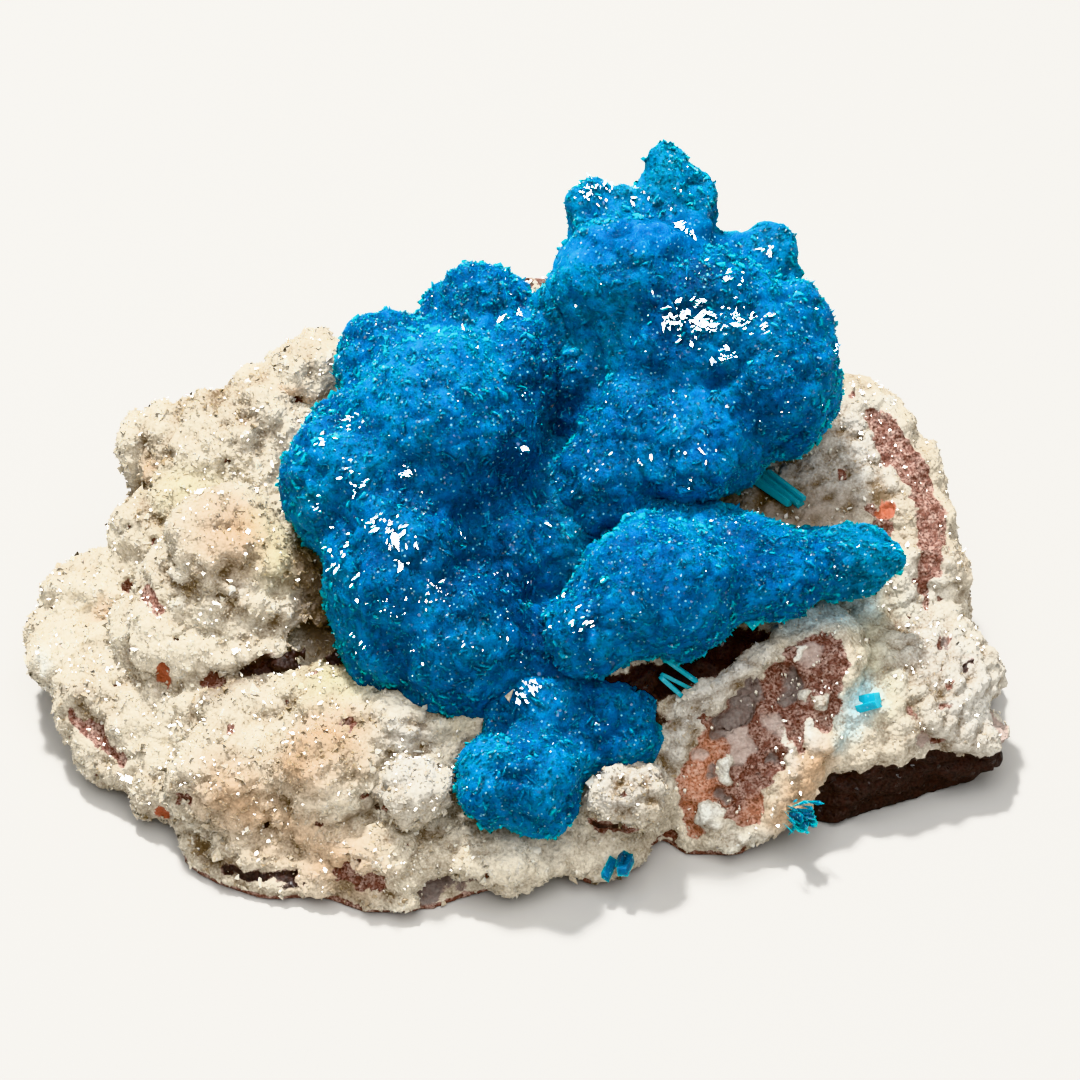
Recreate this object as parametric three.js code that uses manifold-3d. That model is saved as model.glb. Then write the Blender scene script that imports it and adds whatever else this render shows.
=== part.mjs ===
// Cavansite on zeolite-coated basalt, in millimetres, +Z up.
//
// A loose piece of vesicular basalt, coated by a crust of small zeolite crystals, carries
// intergrown sprays of blue cavansite. X runs from left to right and Y from front to back. The
// rock rests on its flat broken underside at Z = 0, and the origin is the middle of that plane.

import * as THREE from "three";
import { ImprovedNoise } from "three/addons/math/ImprovedNoise.js";
import { mergeVertices } from "three/addons/utils/BufferGeometryUtils.js";
import Module from "manifold-3d";

const wasm = await Module();
wasm.setup();

// ---- Driving dimensions -------------------------------------------------------------------

const SEAT_GAP = 0.35; // between one grown piece and the piece that it sits on
const CUT_DEPTH = 30; // how far the block that cuts the underside reaches down
const CUT_WIDTH = 200; // its width, well past the rock on every side

const ROCK_FACET = 2.4; // edge of one facet on the crust
const ROCK_BUMP = 1.9; // height of the crust's bumps
const ROCK_BUMP_SPACING = 4.8; // from one bump to the next
const ROCK_GRIT = 0.3; // uneven height of single facets

const BREAK_FACET = 1.2; // the same for the recesses where the crust is gone
const BREAK_BUMP = 0.3;
const BREAK_GRIT = 0.1;

const SPRAY_FACET = 4; // edge of one facet on a spray, which carries one crystal tip
const SPRAY_INSET = 0.9; // how deep the facets lie inside the lobes, so that the tips reach them
const SPRAY_TIP = 1.8; // how far the largest tips stand out of it
const SPRAY_BUMP = 0.6; // height of a spray's own bulges
const SPRAY_BUMP_SPACING = 5;
const SPRAY_GRIT = 0.25;

const BLADE_WIDTH = 1.8; // the widest crystal blades that stand out of the sprays
const BLADE_THICKNESS = 0.9;
const BLADE_LENGTH = 4;
const BLADE_PROUD = 1.5; // the part of that length outside the spray
const BLADE_SPACING = 12; // from one such blade to the next

const ROOT_LENGTH = 1.6; // how deep a lone crystal reaches into the rock before it is cut to its seat
const STRAY_FLATNESS = 0.6; // a lone crystal's thickness, in widths

const MERGE_DISTANCE = 1e-3; // corners closer than this are one corner
const GOLDEN_ANGLE = Math.PI * (3 - Math.sqrt(5));
const ICOSAHEDRON_EDGE = 1.2; // edge of an undivided icosahedron that is spread on a ball of radius 1

// ---- Finishes -----------------------------------------------------------------------------

const ZEOLITE = { color: "#cbc0ac", roughness: 0.75, metalness: 0 };
const CAVANSITE = { color: "#0a6fb8", roughness: 0.3, metalness: 0 };

// ---- Places and sizes ---------------------------------------------------------------------
// Each lump is [x, y, z] of its middle and [x, y, z] radii. turn is in degrees about X, Y and Z.

const ROCK_BODY = [
  { at: [-17, -2.5, 3.5], radii: [19, 14.5, 8.5] }, // left half
  { at: [2, -1, 4], radii: [21, 16.5, 12] }, // middle, under the sprays
  { at: [24.5, -1, 3], radii: [11.5, 10.5, 8] }, // right slab
  { at: [-22, 9, 7], radii: [12.5, 9, 10] }, // back left
  { at: [1, 12, 8], radii: [15, 9, 12] }, // back middle
  { at: [19.5, 9, 7], radii: [9.5, 9.5, 10] }, // back right
];

const LEFT_LUMPS = [
  { at: [-21.2, 13.6, 17.4], radii: [4.8, 5, 5.6] }, // below the peak
  { at: [-23.5, 12.5, 16.5], radii: [5, 5, 5] }, // ridge below the peak
  { at: [-27.6, 13, 16], radii: [3.4, 4, 4.2] },
  { at: [-31.4, 13, 14.5], radii: [2.9, 3.4, 4.2] }, // horn
  { at: [-29.8, 6.5, 11], radii: [4.6, 4.8, 4.8] },
  { at: [-34.8, 3.5, 7.5], radii: [5, 3.6, 3.2] },
  { at: [-39.6, 2, 5], radii: [1.8, 1.8, 1.8] }, // left tip
  { at: [-36, -1.5, 5.5], radii: [4.2, 4, 3.8] },
  { at: [-33.6, -6.6, 4.5], radii: [4.6, 4, 3.8] },
  { at: [-32.4, -9.8, 2.8], radii: [3.4, 3, 2.8] },
  { at: [-28.4, -12.6, 3], radii: [3.4, 3, 3.2] },
  { at: [-24.5, 0, 14], radii: [6.3, 6.6, 6.8] }, // big boulder
  { at: [-21.5, -6, 11], radii: [3.4, 3.4, 3.4] },
  { at: [-28.3, -4.2, 9.5], radii: [5, 4.6, 4.6] },
];

const FRONT_LUMPS = [
  { at: [-17.8, -9.9, 8.5], radii: [4.4, 3.6, 3.6] },
  { at: [-23.4, -10.1, 6.5], radii: [4.4, 4, 4] },
  { at: [-14.5, -12.5, 7.5], radii: [4.4, 4, 4.2] },
  { at: [-10, -13, 8], radii: [3.8, 3.6, 3.4] },
  { at: [-13, -20, 3.5], radii: [5, 3.4, 2.8] },
  { at: [-4.2, -20, 2.8], radii: [6.4, 3.2, 2.6] }, // front shelf
  { at: [-12, -20.5, 0.6], radii: [10.4, 3.3, 2.2] }, // lowest ledge
  { at: [-22.8, -18.4, 1.2], radii: [5.4, 3.8, 3] }, // its left end
  { at: [4.5, -18, 1.6], radii: [5, 3.6, 3] },
  { at: [13, -10, 4], radii: [6, 7, 7] }, // behind the basalt knob
];

// Lumps that stand so far out that each has a surface of its own.
const PROUD_LUMPS = [
  { at: [17.4, -9.8, 5.5], radii: [6.4, 7, 11.6], turn: [-42, 33, 0] }, // basalt knob
  { at: [5.9, -18.2, 6.4], radii: [3.1, 3, 3.2] }, // cauliflower knob
  { at: [-9.6, -17.8, 7], radii: [2.8, 3, 3.8] }, // silvery knob
  { at: [-16.4, -16.2, 6], radii: [5.4, 4.8, 5] },
  { at: [-24, -15, 5.4], radii: [4.9, 4.4, 4.8] },
  { at: [-19.5, 16, 18.8], radii: [3.2, 3.8, 6.2], turn: [0, 12, 0] }, // peak
];

const RIGHT_LUMPS = [
  { at: [24.8, 15.6, 16], radii: [4.6, 4.2, 5] }, // back corner
  { at: [28.9, 11.4, 13.8], radii: [4, 4.6, 4.8] },
  { at: [30.6, 4.8, 10.4], radii: [3.6, 5, 5] },
  { at: [31.8, -2.8, 6.6], radii: [4, 4.8, 4.2] },
  { at: [33.6, -9.6, 3.8], radii: [3.6, 3.6, 2.6] }, // right tip
  { at: [27, -5.5, 6.4], radii: [6.6, 7, 4.4] },
  { at: [25.4, -8.8, 1.4], radii: [9.4, 6.4, 5.6] }, // foot of the slab
  { at: [26, -7.7, 4.9], radii: [8.2, 6, 3.9], turn: [0, 25, 0] }, // its front edge
  { at: [25, 9, 11], radii: [6.5, 7, 6] },
  { at: [0.4, 18, 23.2], radii: [4.4, 3.8, 6.4] }, // top at the back
];

// Where each piece's surface is measured from, and how far it reaches from there along X, Y and Z.
const ROCK_HEART = { at: [-2, 0, 3], reach: [40, 22, 17] };
const LEFT_NUCLEUS = { at: [-6.5, 2.5, 15.5], reach: [11, 14, 14] };
const UPPER_NUCLEUS = { at: [11, 10, 22], reach: [11, 10, 13] };
const MIDDLE_NUCLEUS = { at: [10.5, -5.4, 16.5], reach: [12, 7, 6] };
const ROSETTE_NUCLEUS = { at: [1.4, -16.6, 7], reach: [8, 6, 5.5] };

// Recesses, where the crust has broken off the brown rock.
const BROKEN_FACES = [
  { at: [31.6, 10.6, 19.2], radii: [1.4, 5.6, 2], turn: [-38, 28, 4] }, // band on the right slab
  { at: [33.6, 3.3, 15.2], radii: [1.5, 4.4, 1.8], turn: [-40, 28, -8] },
  { at: [-35.2, -9.5, 6.6], radii: [3.6, 0.9, 1], turn: [0, 30, -38] }, // slit on the left edge
  { at: [-18.6, -5.6, 11.6], radii: [4.4, 3.4, 1], turn: [20, 0, 0] }, // crevice under the boulder
  { at: [14.8, -12.2, 11], radii: [1.5, 1.2, 1.8] }, // gas pits in the basalt knob
  { at: [18.2, -10.6, 12], radii: [1.5, 1.3, 1.5] },
  { at: [15.2, -15.4, 6.6], radii: [1.1, 1.1, 1.1] },
];

// Flat breaks: each block takes away what lies on the near side of one of its faces.
const BREAK_BLOCKS = [
  { at: [18.6, -16.8, 10.7], size: [18.4, 26, 8], turn: [48, 0, 0] }, // the basalt knob's broken face
  { at: [31.5, -16.9, -3.9], size: [20.7, 12, 12], turn: [0, 34, 26.6] }, // under the right crust's edge
  { at: [-20, 24.4, 10], size: [50, 10, 50], turn: [5, 0, 8] }, // back, left half
  { at: [20, 23.4, 10], size: [50, 10, 50], turn: [-4, 0, -12] }, // back, right half
];

// The sprays' lobes, in three groups that have grown into one another.
const LEFT_SPRAY = [
  { at: [-7.5, 5, 23.4], radii: [8.2, 8.4, 9] }, // dome
  { at: [-4.6, 13.8, 27.4], radii: [5.2, 4.4, 5.6] }, // its top
  { at: [-11.8, 10.4, 26.2], radii: [4.6, 4.4, 5] },
  { at: [-14, 2, 21.2], radii: [6.6, 6.6, 7.2] }, // left edge
  { at: [-10.8, -4.4, 17], radii: [6.2, 7, 8] },
  { at: [-11.4, -8.2, 13.4], radii: [4.2, 4.2, 5] },
  { at: [-6, -9, 13.8], radii: [5.8, 6, 7] }, // foot
  { at: [-2.4, -1.6, 16], radii: [4.6, 6, 7] }, // beside the cleft
  { at: [-1.6, 8.8, 24.8], radii: [3.6, 5, 6.8] }, // its upper edge
  { at: [0.6, -8.6, 12.6], radii: [4.2, 4.2, 4.6] }, // below the cleft
  { at: [-6.5, 2, 15.5], radii: [6.5, 6.5, 4.5] }, // root, on the rock
];

const UPPER_SPRAY = [
  { at: [12.4, 11.4, 27], radii: [8.8, 7.4, 9] }, // middle
  { at: [7, 13.2, 31.4], radii: [6.6, 5.4, 6.8] }, // left bulge
  { at: [18.2, 7.6, 26.4], radii: [5.8, 5.8, 6.6] }, // right bulge
  { at: [20.2, 11, 28.6], radii: [3.2, 3.8, 4.8] },
  { at: [12.4, 4.6, 23.8], radii: [6, 5.8, 5.4] }, // lower bulge
  { at: [11.6, 0.8, 24.2], radii: [3.8, 3.8, 3.6] }, // knob
  { at: [4.7, 1.6, 20], radii: [4.6, 4.8, 5.6] }, // lobe in the cleft
  { at: [7.6, 4.6, 24.2], radii: [5, 4.8, 4.6] },
  { at: [2.8, 9.4, 21.6], radii: [3.8, 4.6, 7.4] }, // sheet at the back of the cleft
];

// Fans of crystals that stand out of the sprays, or fill the cleft between them.
const OUTGROWTHS = [
  { at: [4.5, 15.8, 34.8], radii: [2.6, 1.8, 5], turn: [-35, -10, 0] }, // white-tipped fin
  { at: [8.4, 16, 34.8], radii: [5.6, 2.4, 4.4], turn: [-35, 0, 0] }, // web between the fins
  { at: [9.9, 18, 36], radii: [2.7, 2.2, 5.8], turn: [-35, 0, 0] }, // top fin
  { at: [11.9, 17.6, 34.4], radii: [2.4, 2, 4.8], turn: [-35, 6, 0] },
  { at: [15.6, 14.8, 31], radii: [3.2, 2.4, 4.6], turn: [-35, 0, 0] },
  { at: [17.6, 14.6, 31], radii: [3.4, 1.8, 5.4], turn: [-38, 4, 0] }, // thin teal sheet
  { at: [1, 12, 26], radii: [2.6, 3, 6.6] }, // thin sheet at the top of the cleft
  { at: [23, -3, 17.4], radii: [5.8, 3.4, 2.9], turn: [0, 0, 6] }, // finger to the right
  { at: [1.8, 3, 17], radii: [4.6, 8.6, 6.2], turn: [12, 0, 0] }, // floor of the cleft
];

const MIDDLE_SPRAY = [
  { at: [9, -7.6, 18.6], radii: [6.8, 5.8, 5.8] },
  { at: [4, -10, 16.8], radii: [4, 4.2, 4.4] }, // left end
  { at: [16.4, -4.8, 18], radii: [6.8, 4.6, 4.2] },
  { at: [11.6, -2.6, 18.8], radii: [6, 4, 4] },
];

const LOWER_ROSETTE = [
  { at: [-3, -18.8, 8.6], radii: [4.6, 4.2, 4.2] },
  { at: [0.4, -18.4, 8.6], radii: [4.4, 4.4, 5] },
  { at: [5.2, -14.4, 9.4], radii: [4.4, 3.4, 3.4] },
  { at: [-0.6, -13.2, 11.2], radii: [4.4, 3.4, 3] },
  { at: [4, -12.6, 11], radii: [4.8, 3.2, 2.9] },
];

// Crystals that stand alone, each where the line from a point inside the rock to near comes out.
const STRAY_CRYSTALS = {
  cavansite_prism_upper_right: {
    inside: [18.3, 7.2, 2],
    near: [18.3, 7.2, 17],
    along: [2.7, -2.8, -0.3],
    width: 1.3,
    length: 3.6,
  },
  cavansite_prism_right: {
    inside: [25, -10.6, 2],
    near: [25, -10.6, 9],
    along: [0.9, -0.4, 0.7],
    width: 1.2,
    length: 1.8,
  },
  cavansite_blade_centre: {
    inside: [11, -11.2, 2],
    near: [11, -11.2, 11],
    along: [-0.6, -0.2, 0.8],
    width: 1.2,
    length: 3,
  },
  cavansite_crystal_front: {
    inside: [6.2, -14, 4.2],
    near: [6.2, -18, 3.6],
    along: [-0.2, -0.9, 0.1],
    width: 1.8,
    length: 2.2,
  },
};
const TUFT = {
  inside: [15, -11, 4],
  near: [18.4, -16, 4.2],
  along: [0.5, -0.8, 0.4],
  blades: 7,
  spread: 0.45,
  width: 1.2,
  length: 3.2,
};

// ---- Shapes -------------------------------------------------------------------------------

const perlin = new ImprovedNoise();

/** Random numbers from 0 to 1 that are the same in each build. */
function seededRandom(seed) {
  let state = seed >>> 0;
  return () => {
    state = (Math.imul(state, 1664525) + 1013904223) >>> 0;
    return state / 2 ** 32;
  };
}

/** A closed geometry as a solid that can be joined and cut. */
function solidFrom(geometry) {
  const bare = geometry.index ? geometry.toNonIndexed() : geometry.clone();
  bare.deleteAttribute("normal");
  bare.deleteAttribute("uv");
  const merged = mergeVertices(bare, MERGE_DISTANCE);
  const mesh = new wasm.Mesh({
    numProp: 3,
    vertProperties: merged.attributes.position.array,
    triVerts: new Uint32Array(merged.index.array),
  });
  return new wasm.Manifold(mesh);
}

/** A solid's surface as a three.js geometry. */
function geometryFrom(solid) {
  const mesh = solid.getMesh();
  const geometry = new THREE.BufferGeometry();
  geometry.setAttribute("position", new THREE.BufferAttribute(mesh.vertProperties, mesh.numProp));
  geometry.setIndex(new THREE.BufferAttribute(mesh.triVerts, 1));
  geometry.computeVertexNormals();
  return geometry;
}

/** The biggest of a solid's bodies. */
function mainBody(solid) {
  const bodies = solid.decompose();
  bodies.sort((a, b) => b.volume() - a.volume());
  return bodies[0];
}

/** A solid with its close corners merged, down to one body without the crumbs that cuts leave. */
function tidied(solid) {
  let body = mainBody(solid);
  let merged = solidFrom(geometryFrom(body));
  while (merged.decompose().length > 1) {
    body = mainBody(merged);
    merged = solidFrom(geometryFrom(body));
  }
  return merged;
}

function joined(solids) {
  return solids.reduce((whole, solid) => whole.add(solid));
}

function quaternionOf(turn = [0, 0, 0]) {
  const [x, y, z] = turn.map(THREE.MathUtils.degToRad);
  return new THREE.Quaternion().setFromEuler(new THREE.Euler(x, y, z));
}

/** How far a ray from start runs along direction before it leaves a lump, or 0 if it misses it. */
function exitDistance(start, direction, place) {
  const unturn = quaternionOf(place.turn).invert();
  const radii = new THREE.Vector3(...place.radii);
  const from = start.clone().sub(new THREE.Vector3(...place.at));
  from.applyQuaternion(unturn).divide(radii);
  const step = direction.clone().applyQuaternion(unturn).divide(radii);
  const a = step.dot(step);
  const b = from.dot(step);
  const c = from.dot(from) - 1;
  const root = b * b - a * c;
  return root <= 0 ? 0 : (-b + Math.sqrt(root)) / a;
}

/**
 * One closed surface round all of a piece's lumps, as seen from its heart, with even facets, bumps
 * and grit. grown moves it outwards by that much. The result is a geometry.
 */
function envelope(heart, lumps, surface, grown = 0) {
  const start = new THREE.Vector3(...heart.at);
  const reach = new THREE.Vector3(...heart.reach);
  const turn = quaternionOf(heart.turn);
  const meanReach = (reach.x + reach.y + reach.z) / 3;
  const detail = Math.round((ICOSAHEDRON_EDGE * meanReach) / surface.facet) - 1;
  const geometry = solidReady(new THREE.IcosahedronGeometry(1, detail));
  const position = geometry.attributes.position;
  const random = seededRandom(5);
  const point = new THREE.Vector3();
  for (let i = 0; i < position.count; i += 1) {
    point.fromBufferAttribute(position, i).multiply(reach).applyQuaternion(turn);
    const direction = point.clone().normalize();
    const distance = Math.max(...lumps.map((place) => exitDistance(start, direction, place)));
    point.copy(start).addScaledVector(direction, distance).divideScalar(surface.spacing);
    const bump = surface.bump * perlin.noise(point.x, point.y, point.z);
    const grit = surface.grit * (2 * random() - 1);
    point.copy(start).addScaledVector(direction, distance + bump + grit + grown);
    position.setXYZ(i, point.x, point.y, point.z);
  }
  return geometry;
}

/** The same surface with a crystal tip on each facet, pointing away from the nucleus. */
function withTips(geometry, nucleus, height) {
  const start = new THREE.Vector3(...nucleus.at);
  const position = geometry.attributes.position;
  const index = geometry.index.array;
  const random = seededRandom(9);
  const points = Array.from(position.array);
  const faces = [];
  for (let i = 0; i < index.length; i += 3) {
    const corners = [index[i], index[i + 1], index[i + 2]];
    const shares = corners.map(() => 0.4 + random());
    const total = shares.reduce((sum, share) => sum + share);
    const tip = new THREE.Vector3();
    corners.forEach((corner, k) => {
      tip.addScaledVector(new THREE.Vector3().fromBufferAttribute(position, corner), shares[k] / total);
    });
    const outwards = tip.clone().sub(start).normalize();
    tip.addScaledVector(outwards, height * (0.3 + 0.7 * random()));
    const top = points.length / 3;
    points.push(tip.x, tip.y, tip.z);
    corners.forEach((corner, k) => faces.push(corner, corners[(k + 1) % 3], top));
  }
  const spiky = new THREE.BufferGeometry();
  spiky.setAttribute("position", new THREE.Float32BufferAttribute(points, 3));
  spiky.setIndex(faces);
  return spiky;
}

/** A plain rounded recess or lump with a rough surface. */
function lump(place, surface, grown = 0) {
  return solidFrom(envelope({ ...place, reach: place.radii }, [place], surface, grown));
}

/** A geometry with one vertex at each corner, so that a corner moves for all its faces at once. */
function solidReady(geometry) {
  geometry.deleteAttribute("normal");
  geometry.deleteAttribute("uv");
  return mergeVertices(geometry, MERGE_DISTANCE);
}

/** A four-sided crystal with a pyramid tip, standing on the origin along +Z. */
function crystalGeometry(width, thickness, length) {
  const shoulder = length * 0.72;
  const profile = [
    new THREE.Vector2(0, 0),
    new THREE.Vector2(0.62, 0),
    new THREE.Vector2(0.7, shoulder),
    new THREE.Vector2(0, length),
  ];
  const geometry = new THREE.LatheGeometry(profile, 4);
  geometry.rotateX(Math.PI / 2);
  geometry.scale(width, thickness, 1);
  return geometry;
}

/** A crystal that stands on foot and points along direction. */
function crystal(foot, direction, width, thickness, length, roll) {
  const geometry = crystalGeometry(width, thickness, length);
  geometry.rotateZ(roll);
  const up = new THREE.Vector3(0, 0, 1);
  geometry.applyQuaternion(new THREE.Quaternion().setFromUnitVectors(up, direction));
  geometry.translate(foot.x, foot.y, foot.z);
  return solidFrom(geometry);
}

/** Whether a point lies inside a lump's plain form, made bigger by margin. */
function isInside(point, place, margin = 0) {
  const local = point.clone().sub(new THREE.Vector3(...place.at));
  local.applyQuaternion(quaternionOf(place.turn).invert());
  const grown = new THREE.Vector3(...place.radii).addScalar(margin);
  return local.divide(grown).length() < 1;
}

/** Points spread evenly over a ball of radius 1. */
function evenDirections(count) {
  return Array.from({ length: count }, (_, i) => {
    const z = 1 - (2 * (i + 0.5)) / count;
    const r = Math.sqrt(1 - z * z);
    const angle = GOLDEN_ANGLE * i;
    return new THREE.Vector3(r * Math.cos(angle), r * Math.sin(angle), z);
  });
}

/** The blades that stand out of one lobe, where no other lobe or rock covers them. */
function lobeBlades(nucleus, lobe, others) {
  const radii = new THREE.Vector3(...lobe.radii);
  const middle = new THREE.Vector3(...lobe.at);
  const start = new THREE.Vector3(...nucleus.at);
  const turn = quaternionOf(lobe.turn);
  const meanRadius = (radii.x + radii.y + radii.z) / 3;
  const count = Math.round((4 * Math.PI * meanRadius ** 2) / BLADE_SPACING ** 2);
  const random = seededRandom(Math.round(77 + 53 * lobe.at[0] + 19 * lobe.at[2]));
  const blades = [];
  for (const direction of evenDirections(count)) {
    const size = 0.75 + 0.5 * random();
    const roll = Math.PI * random();
    const lean = new THREE.Vector3(random() - 0.5, random() - 0.5, random() - 0.5).multiplyScalar(0.5);
    const onSurface = direction.clone().multiply(radii).applyQuaternion(turn).add(middle);
    const outwards = onSurface.clone().sub(start).normalize().add(lean).normalize();
    const tip = onSurface.clone().addScaledVector(outwards, BLADE_PROUD * size);
    if (others.some((other) => isInside(tip, other, 0.8))) continue;
    const foot = tip.clone().addScaledVector(outwards, -BLADE_LENGTH * size);
    blades.push(
      crystal(foot, outwards, BLADE_WIDTH * size, BLADE_THICKNESS * size, BLADE_LENGTH * size, roll),
    );
  }
  return blades;
}

// ---- Pieces -------------------------------------------------------------------------------

const CRUST = {
  facet: ROCK_FACET,
  bump: ROCK_BUMP,
  spacing: ROCK_BUMP_SPACING,
  grit: ROCK_GRIT,
};
const SPRAY = {
  facet: SPRAY_FACET,
  bump: SPRAY_BUMP,
  spacing: SPRAY_BUMP_SPACING,
  grit: SPRAY_GRIT,
};
const BREAK = {
  facet: BREAK_FACET,
  bump: BREAK_BUMP,
  spacing: ROCK_BUMP_SPACING,
  grit: BREAK_GRIT,
};

const ROCK_BULK = [...ROCK_BODY, ...LEFT_LUMPS, ...FRONT_LUMPS, ...RIGHT_LUMPS];
const ROCK_LUMPS = [...ROCK_BULK, ...PROUD_LUMPS];

/** The rock with its crust, cut flat at Z = 0. grown gives the same rock with a thicker crust. */
function rockSolid(grown = 0) {
  const bulk = solidFrom(envelope(ROCK_HEART, ROCK_BULK, CRUST, grown));
  const whole = joined([bulk, ...PROUD_LUMPS.map((place) => lump(place, CRUST, grown))]);
  const faces = joined(BROKEN_FACES.map((place) => lump(place, BREAK, -grown)));
  const breaks = joined(BREAK_BLOCKS.map((place) => block(place, -grown)));
  const ground = block({ at: [0, 0, -CUT_DEPTH / 2], size: [CUT_WIDTH, CUT_WIDTH, CUT_DEPTH] });
  return whole.subtract(faces).subtract(breaks).subtract(ground);
}

/** A square block, thicker by grown on every side. */
function block({ at, size, turn }, grown = 0) {
  const [width, depth, height] = size.map((side) => side + 2 * grown);
  const geometry = new THREE.BoxGeometry(width, depth, height);
  geometry.applyQuaternion(quaternionOf(turn));
  geometry.translate(...at);
  return solidFrom(geometry);
}

/** The surface round some lobes, set with crystal tips. */
function tippedSolid(nucleus, lobes, grown) {
  const base = envelope(nucleus, lobes, SPRAY, grown - SPRAY_INSET);
  return solidFrom(withTips(base, nucleus, SPRAY_TIP));
}

/** One spray: its lobes' surface, set with crystal tips, and the blades that stand out of it. */
function spraySolid(nucleus, lobes, others, grown = 0) {
  const body = tippedSolid(nucleus, lobes, grown);
  const blades = lobes.flatMap((lobe) => {
    const covers = [...lobes.filter((other) => other !== lobe), ...others];
    return lobeBlades(nucleus, lobe, covers);
  });
  return joined([body, ...blades]);
}

/** The three sprays that have grown into one another, and their outgrowths. */
function clusterSolid(grown = 0) {
  const left = spraySolid(LEFT_NUCLEUS, LEFT_SPRAY, [...UPPER_SPRAY, ...ROCK_LUMPS], grown);
  const upper = spraySolid(UPPER_NUCLEUS, UPPER_SPRAY, [...LEFT_SPRAY, ...ROCK_LUMPS], grown);
  const middle = spraySolid(MIDDLE_NUCLEUS, MIDDLE_SPRAY, [...UPPER_SPRAY, ...ROCK_LUMPS], grown);
  const fans = OUTGROWTHS.map((fan) => tippedSolid({ ...fan, reach: fan.radii }, [fan], grown));
  return joined([left, upper, middle, ...fans]);
}

/** Where the line from inside through near leaves the rock. */
function rockSurface({ inside, near }) {
  const start = new THREE.Vector3(...inside);
  const direction = new THREE.Vector3(...near).sub(start).normalize();
  const distance = Math.max(...ROCK_LUMPS.map((place) => exitDistance(start, direction, place)));
  return start.addScaledVector(direction, distance);
}

/** A crystal on the rock, with its root let into it. */
function rootedCrystal(place, direction, width, length, roll) {
  const foot = rockSurface(place).addScaledVector(direction, -ROOT_LENGTH);
  return crystal(foot, direction, width, width * STRAY_FLATNESS, length + ROOT_LENGTH, roll);
}

/** One crystal that stands alone. */
function straySolid(place) {
  const direction = new THREE.Vector3(...place.along).normalize();
  return rootedCrystal(place, direction, place.width, place.length, 0);
}

/** A small bundle of crystals that share their foot. */
function tuftSolid(place) {
  const random = seededRandom(11);
  const axis = new THREE.Vector3(...place.along).normalize();
  const solids = Array.from({ length: place.blades }, () => {
    const lean = new THREE.Vector3(random() - 0.5, random() - 0.5, random() - 0.5);
    const direction = axis.clone().addScaledVector(lean, 2 * place.spread).normalize();
    const size = 0.7 + 0.5 * random();
    const [width, length] = [place.width * size, place.length * size];
    return rootedCrystal(place, direction, width, length, Math.PI * random());
  });
  return joined(solids);
}

/** The solids of all the pieces, by name, in the order in which they grew. */
function pieceSolids() {
  const seat = rockSolid(SEAT_GAP);
  const taken = seat.add(clusterSolid(SEAT_GAP));
  const rosetteSpray = spraySolid(ROSETTE_NUCLEUS, LOWER_ROSETTE, ROCK_LUMPS);
  const around = taken.add(spraySolid(ROSETTE_NUCLEUS, LOWER_ROSETTE, ROCK_LUMPS, SEAT_GAP));
  const solids = {
    matrix_rock: rockSolid(),
    cavansite_cluster: clusterSolid().subtract(seat),
    cavansite_lower_rosette: rosetteSpray.subtract(taken),
    cavansite_tuft_front_right: tuftSolid(TUFT).subtract(around),
  };
  for (const [name, place] of Object.entries(STRAY_CRYSTALS)) {
    solids[name] = straySolid(place).subtract(around);
  }
  return solids;
}

/** A mesh for one solid, moved by shift, with the finish of its mineral. */
function pieceMesh(name, solid, shift) {
  const moved = geometryFrom(solid).translate(shift.x, shift.y, shift.z);
  const geometry = geometryFrom(tidied(solidFrom(moved)));
  const material = new THREE.MeshStandardMaterial(name === "matrix_rock" ? ZEOLITE : CAVANSITE);
  const mesh = new THREE.Mesh(geometry, material);
  mesh.name = name;
  return mesh;
}

/** The whole specimen, with the origin in the middle of its underside. */
function specimen() {
  const solids = Object.entries(pieceSolids());
  const box = new THREE.Box3();
  for (const [, solid] of solids) {
    const geometry = geometryFrom(mainBody(solid));
    geometry.computeBoundingBox();
    box.union(geometry.boundingBox);
  }
  const middle = box.getCenter(new THREE.Vector3());
  const shift = new THREE.Vector3(-middle.x, -middle.y, -box.min.z);
  const group = new THREE.Group();
  for (const [name, solid] of solids) group.add(pieceMesh(name, solid, shift));
  return group;
}

export default specimen();
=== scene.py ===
"""Cavansite sprays on a loose piece of zeolite-coated basalt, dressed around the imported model.

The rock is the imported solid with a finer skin, on which thousands of small zeolite crystals stand
wherever the crust is whole. Each spray is a body of rounded lobes that is covered by crystal tips
which all point away from the place where the spray began to grow. Sizes are in millimetres until a
mesh is made, and the axes are the model's own.
"""

import logging
import math
from dataclasses import dataclass, field
from enum import Enum

import bmesh
import bpy
import numpy as np
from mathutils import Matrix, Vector, noise
from mathutils.bvhtree import BVHTree


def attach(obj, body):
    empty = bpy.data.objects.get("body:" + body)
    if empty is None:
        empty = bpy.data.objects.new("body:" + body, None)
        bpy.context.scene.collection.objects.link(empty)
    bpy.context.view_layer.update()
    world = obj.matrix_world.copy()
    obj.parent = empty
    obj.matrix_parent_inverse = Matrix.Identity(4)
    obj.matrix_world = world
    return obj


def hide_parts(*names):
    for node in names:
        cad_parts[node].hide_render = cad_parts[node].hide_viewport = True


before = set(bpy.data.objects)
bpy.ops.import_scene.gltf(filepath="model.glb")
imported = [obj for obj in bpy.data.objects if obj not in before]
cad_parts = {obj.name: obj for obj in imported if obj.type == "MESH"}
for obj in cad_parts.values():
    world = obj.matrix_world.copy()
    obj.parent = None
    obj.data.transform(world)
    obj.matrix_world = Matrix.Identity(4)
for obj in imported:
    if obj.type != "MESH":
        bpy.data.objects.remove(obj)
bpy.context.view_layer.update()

logging.basicConfig(level=logging.INFO, format="%(name)s: %(message)s")
LOG = logging.getLogger("specimen")

MM = 0.001
CENTRING = np.array((2.0548, 1.3780, 0.0))  # from the lobes' own zero to the model's origin

Triple = tuple[float, float, float]


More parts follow.
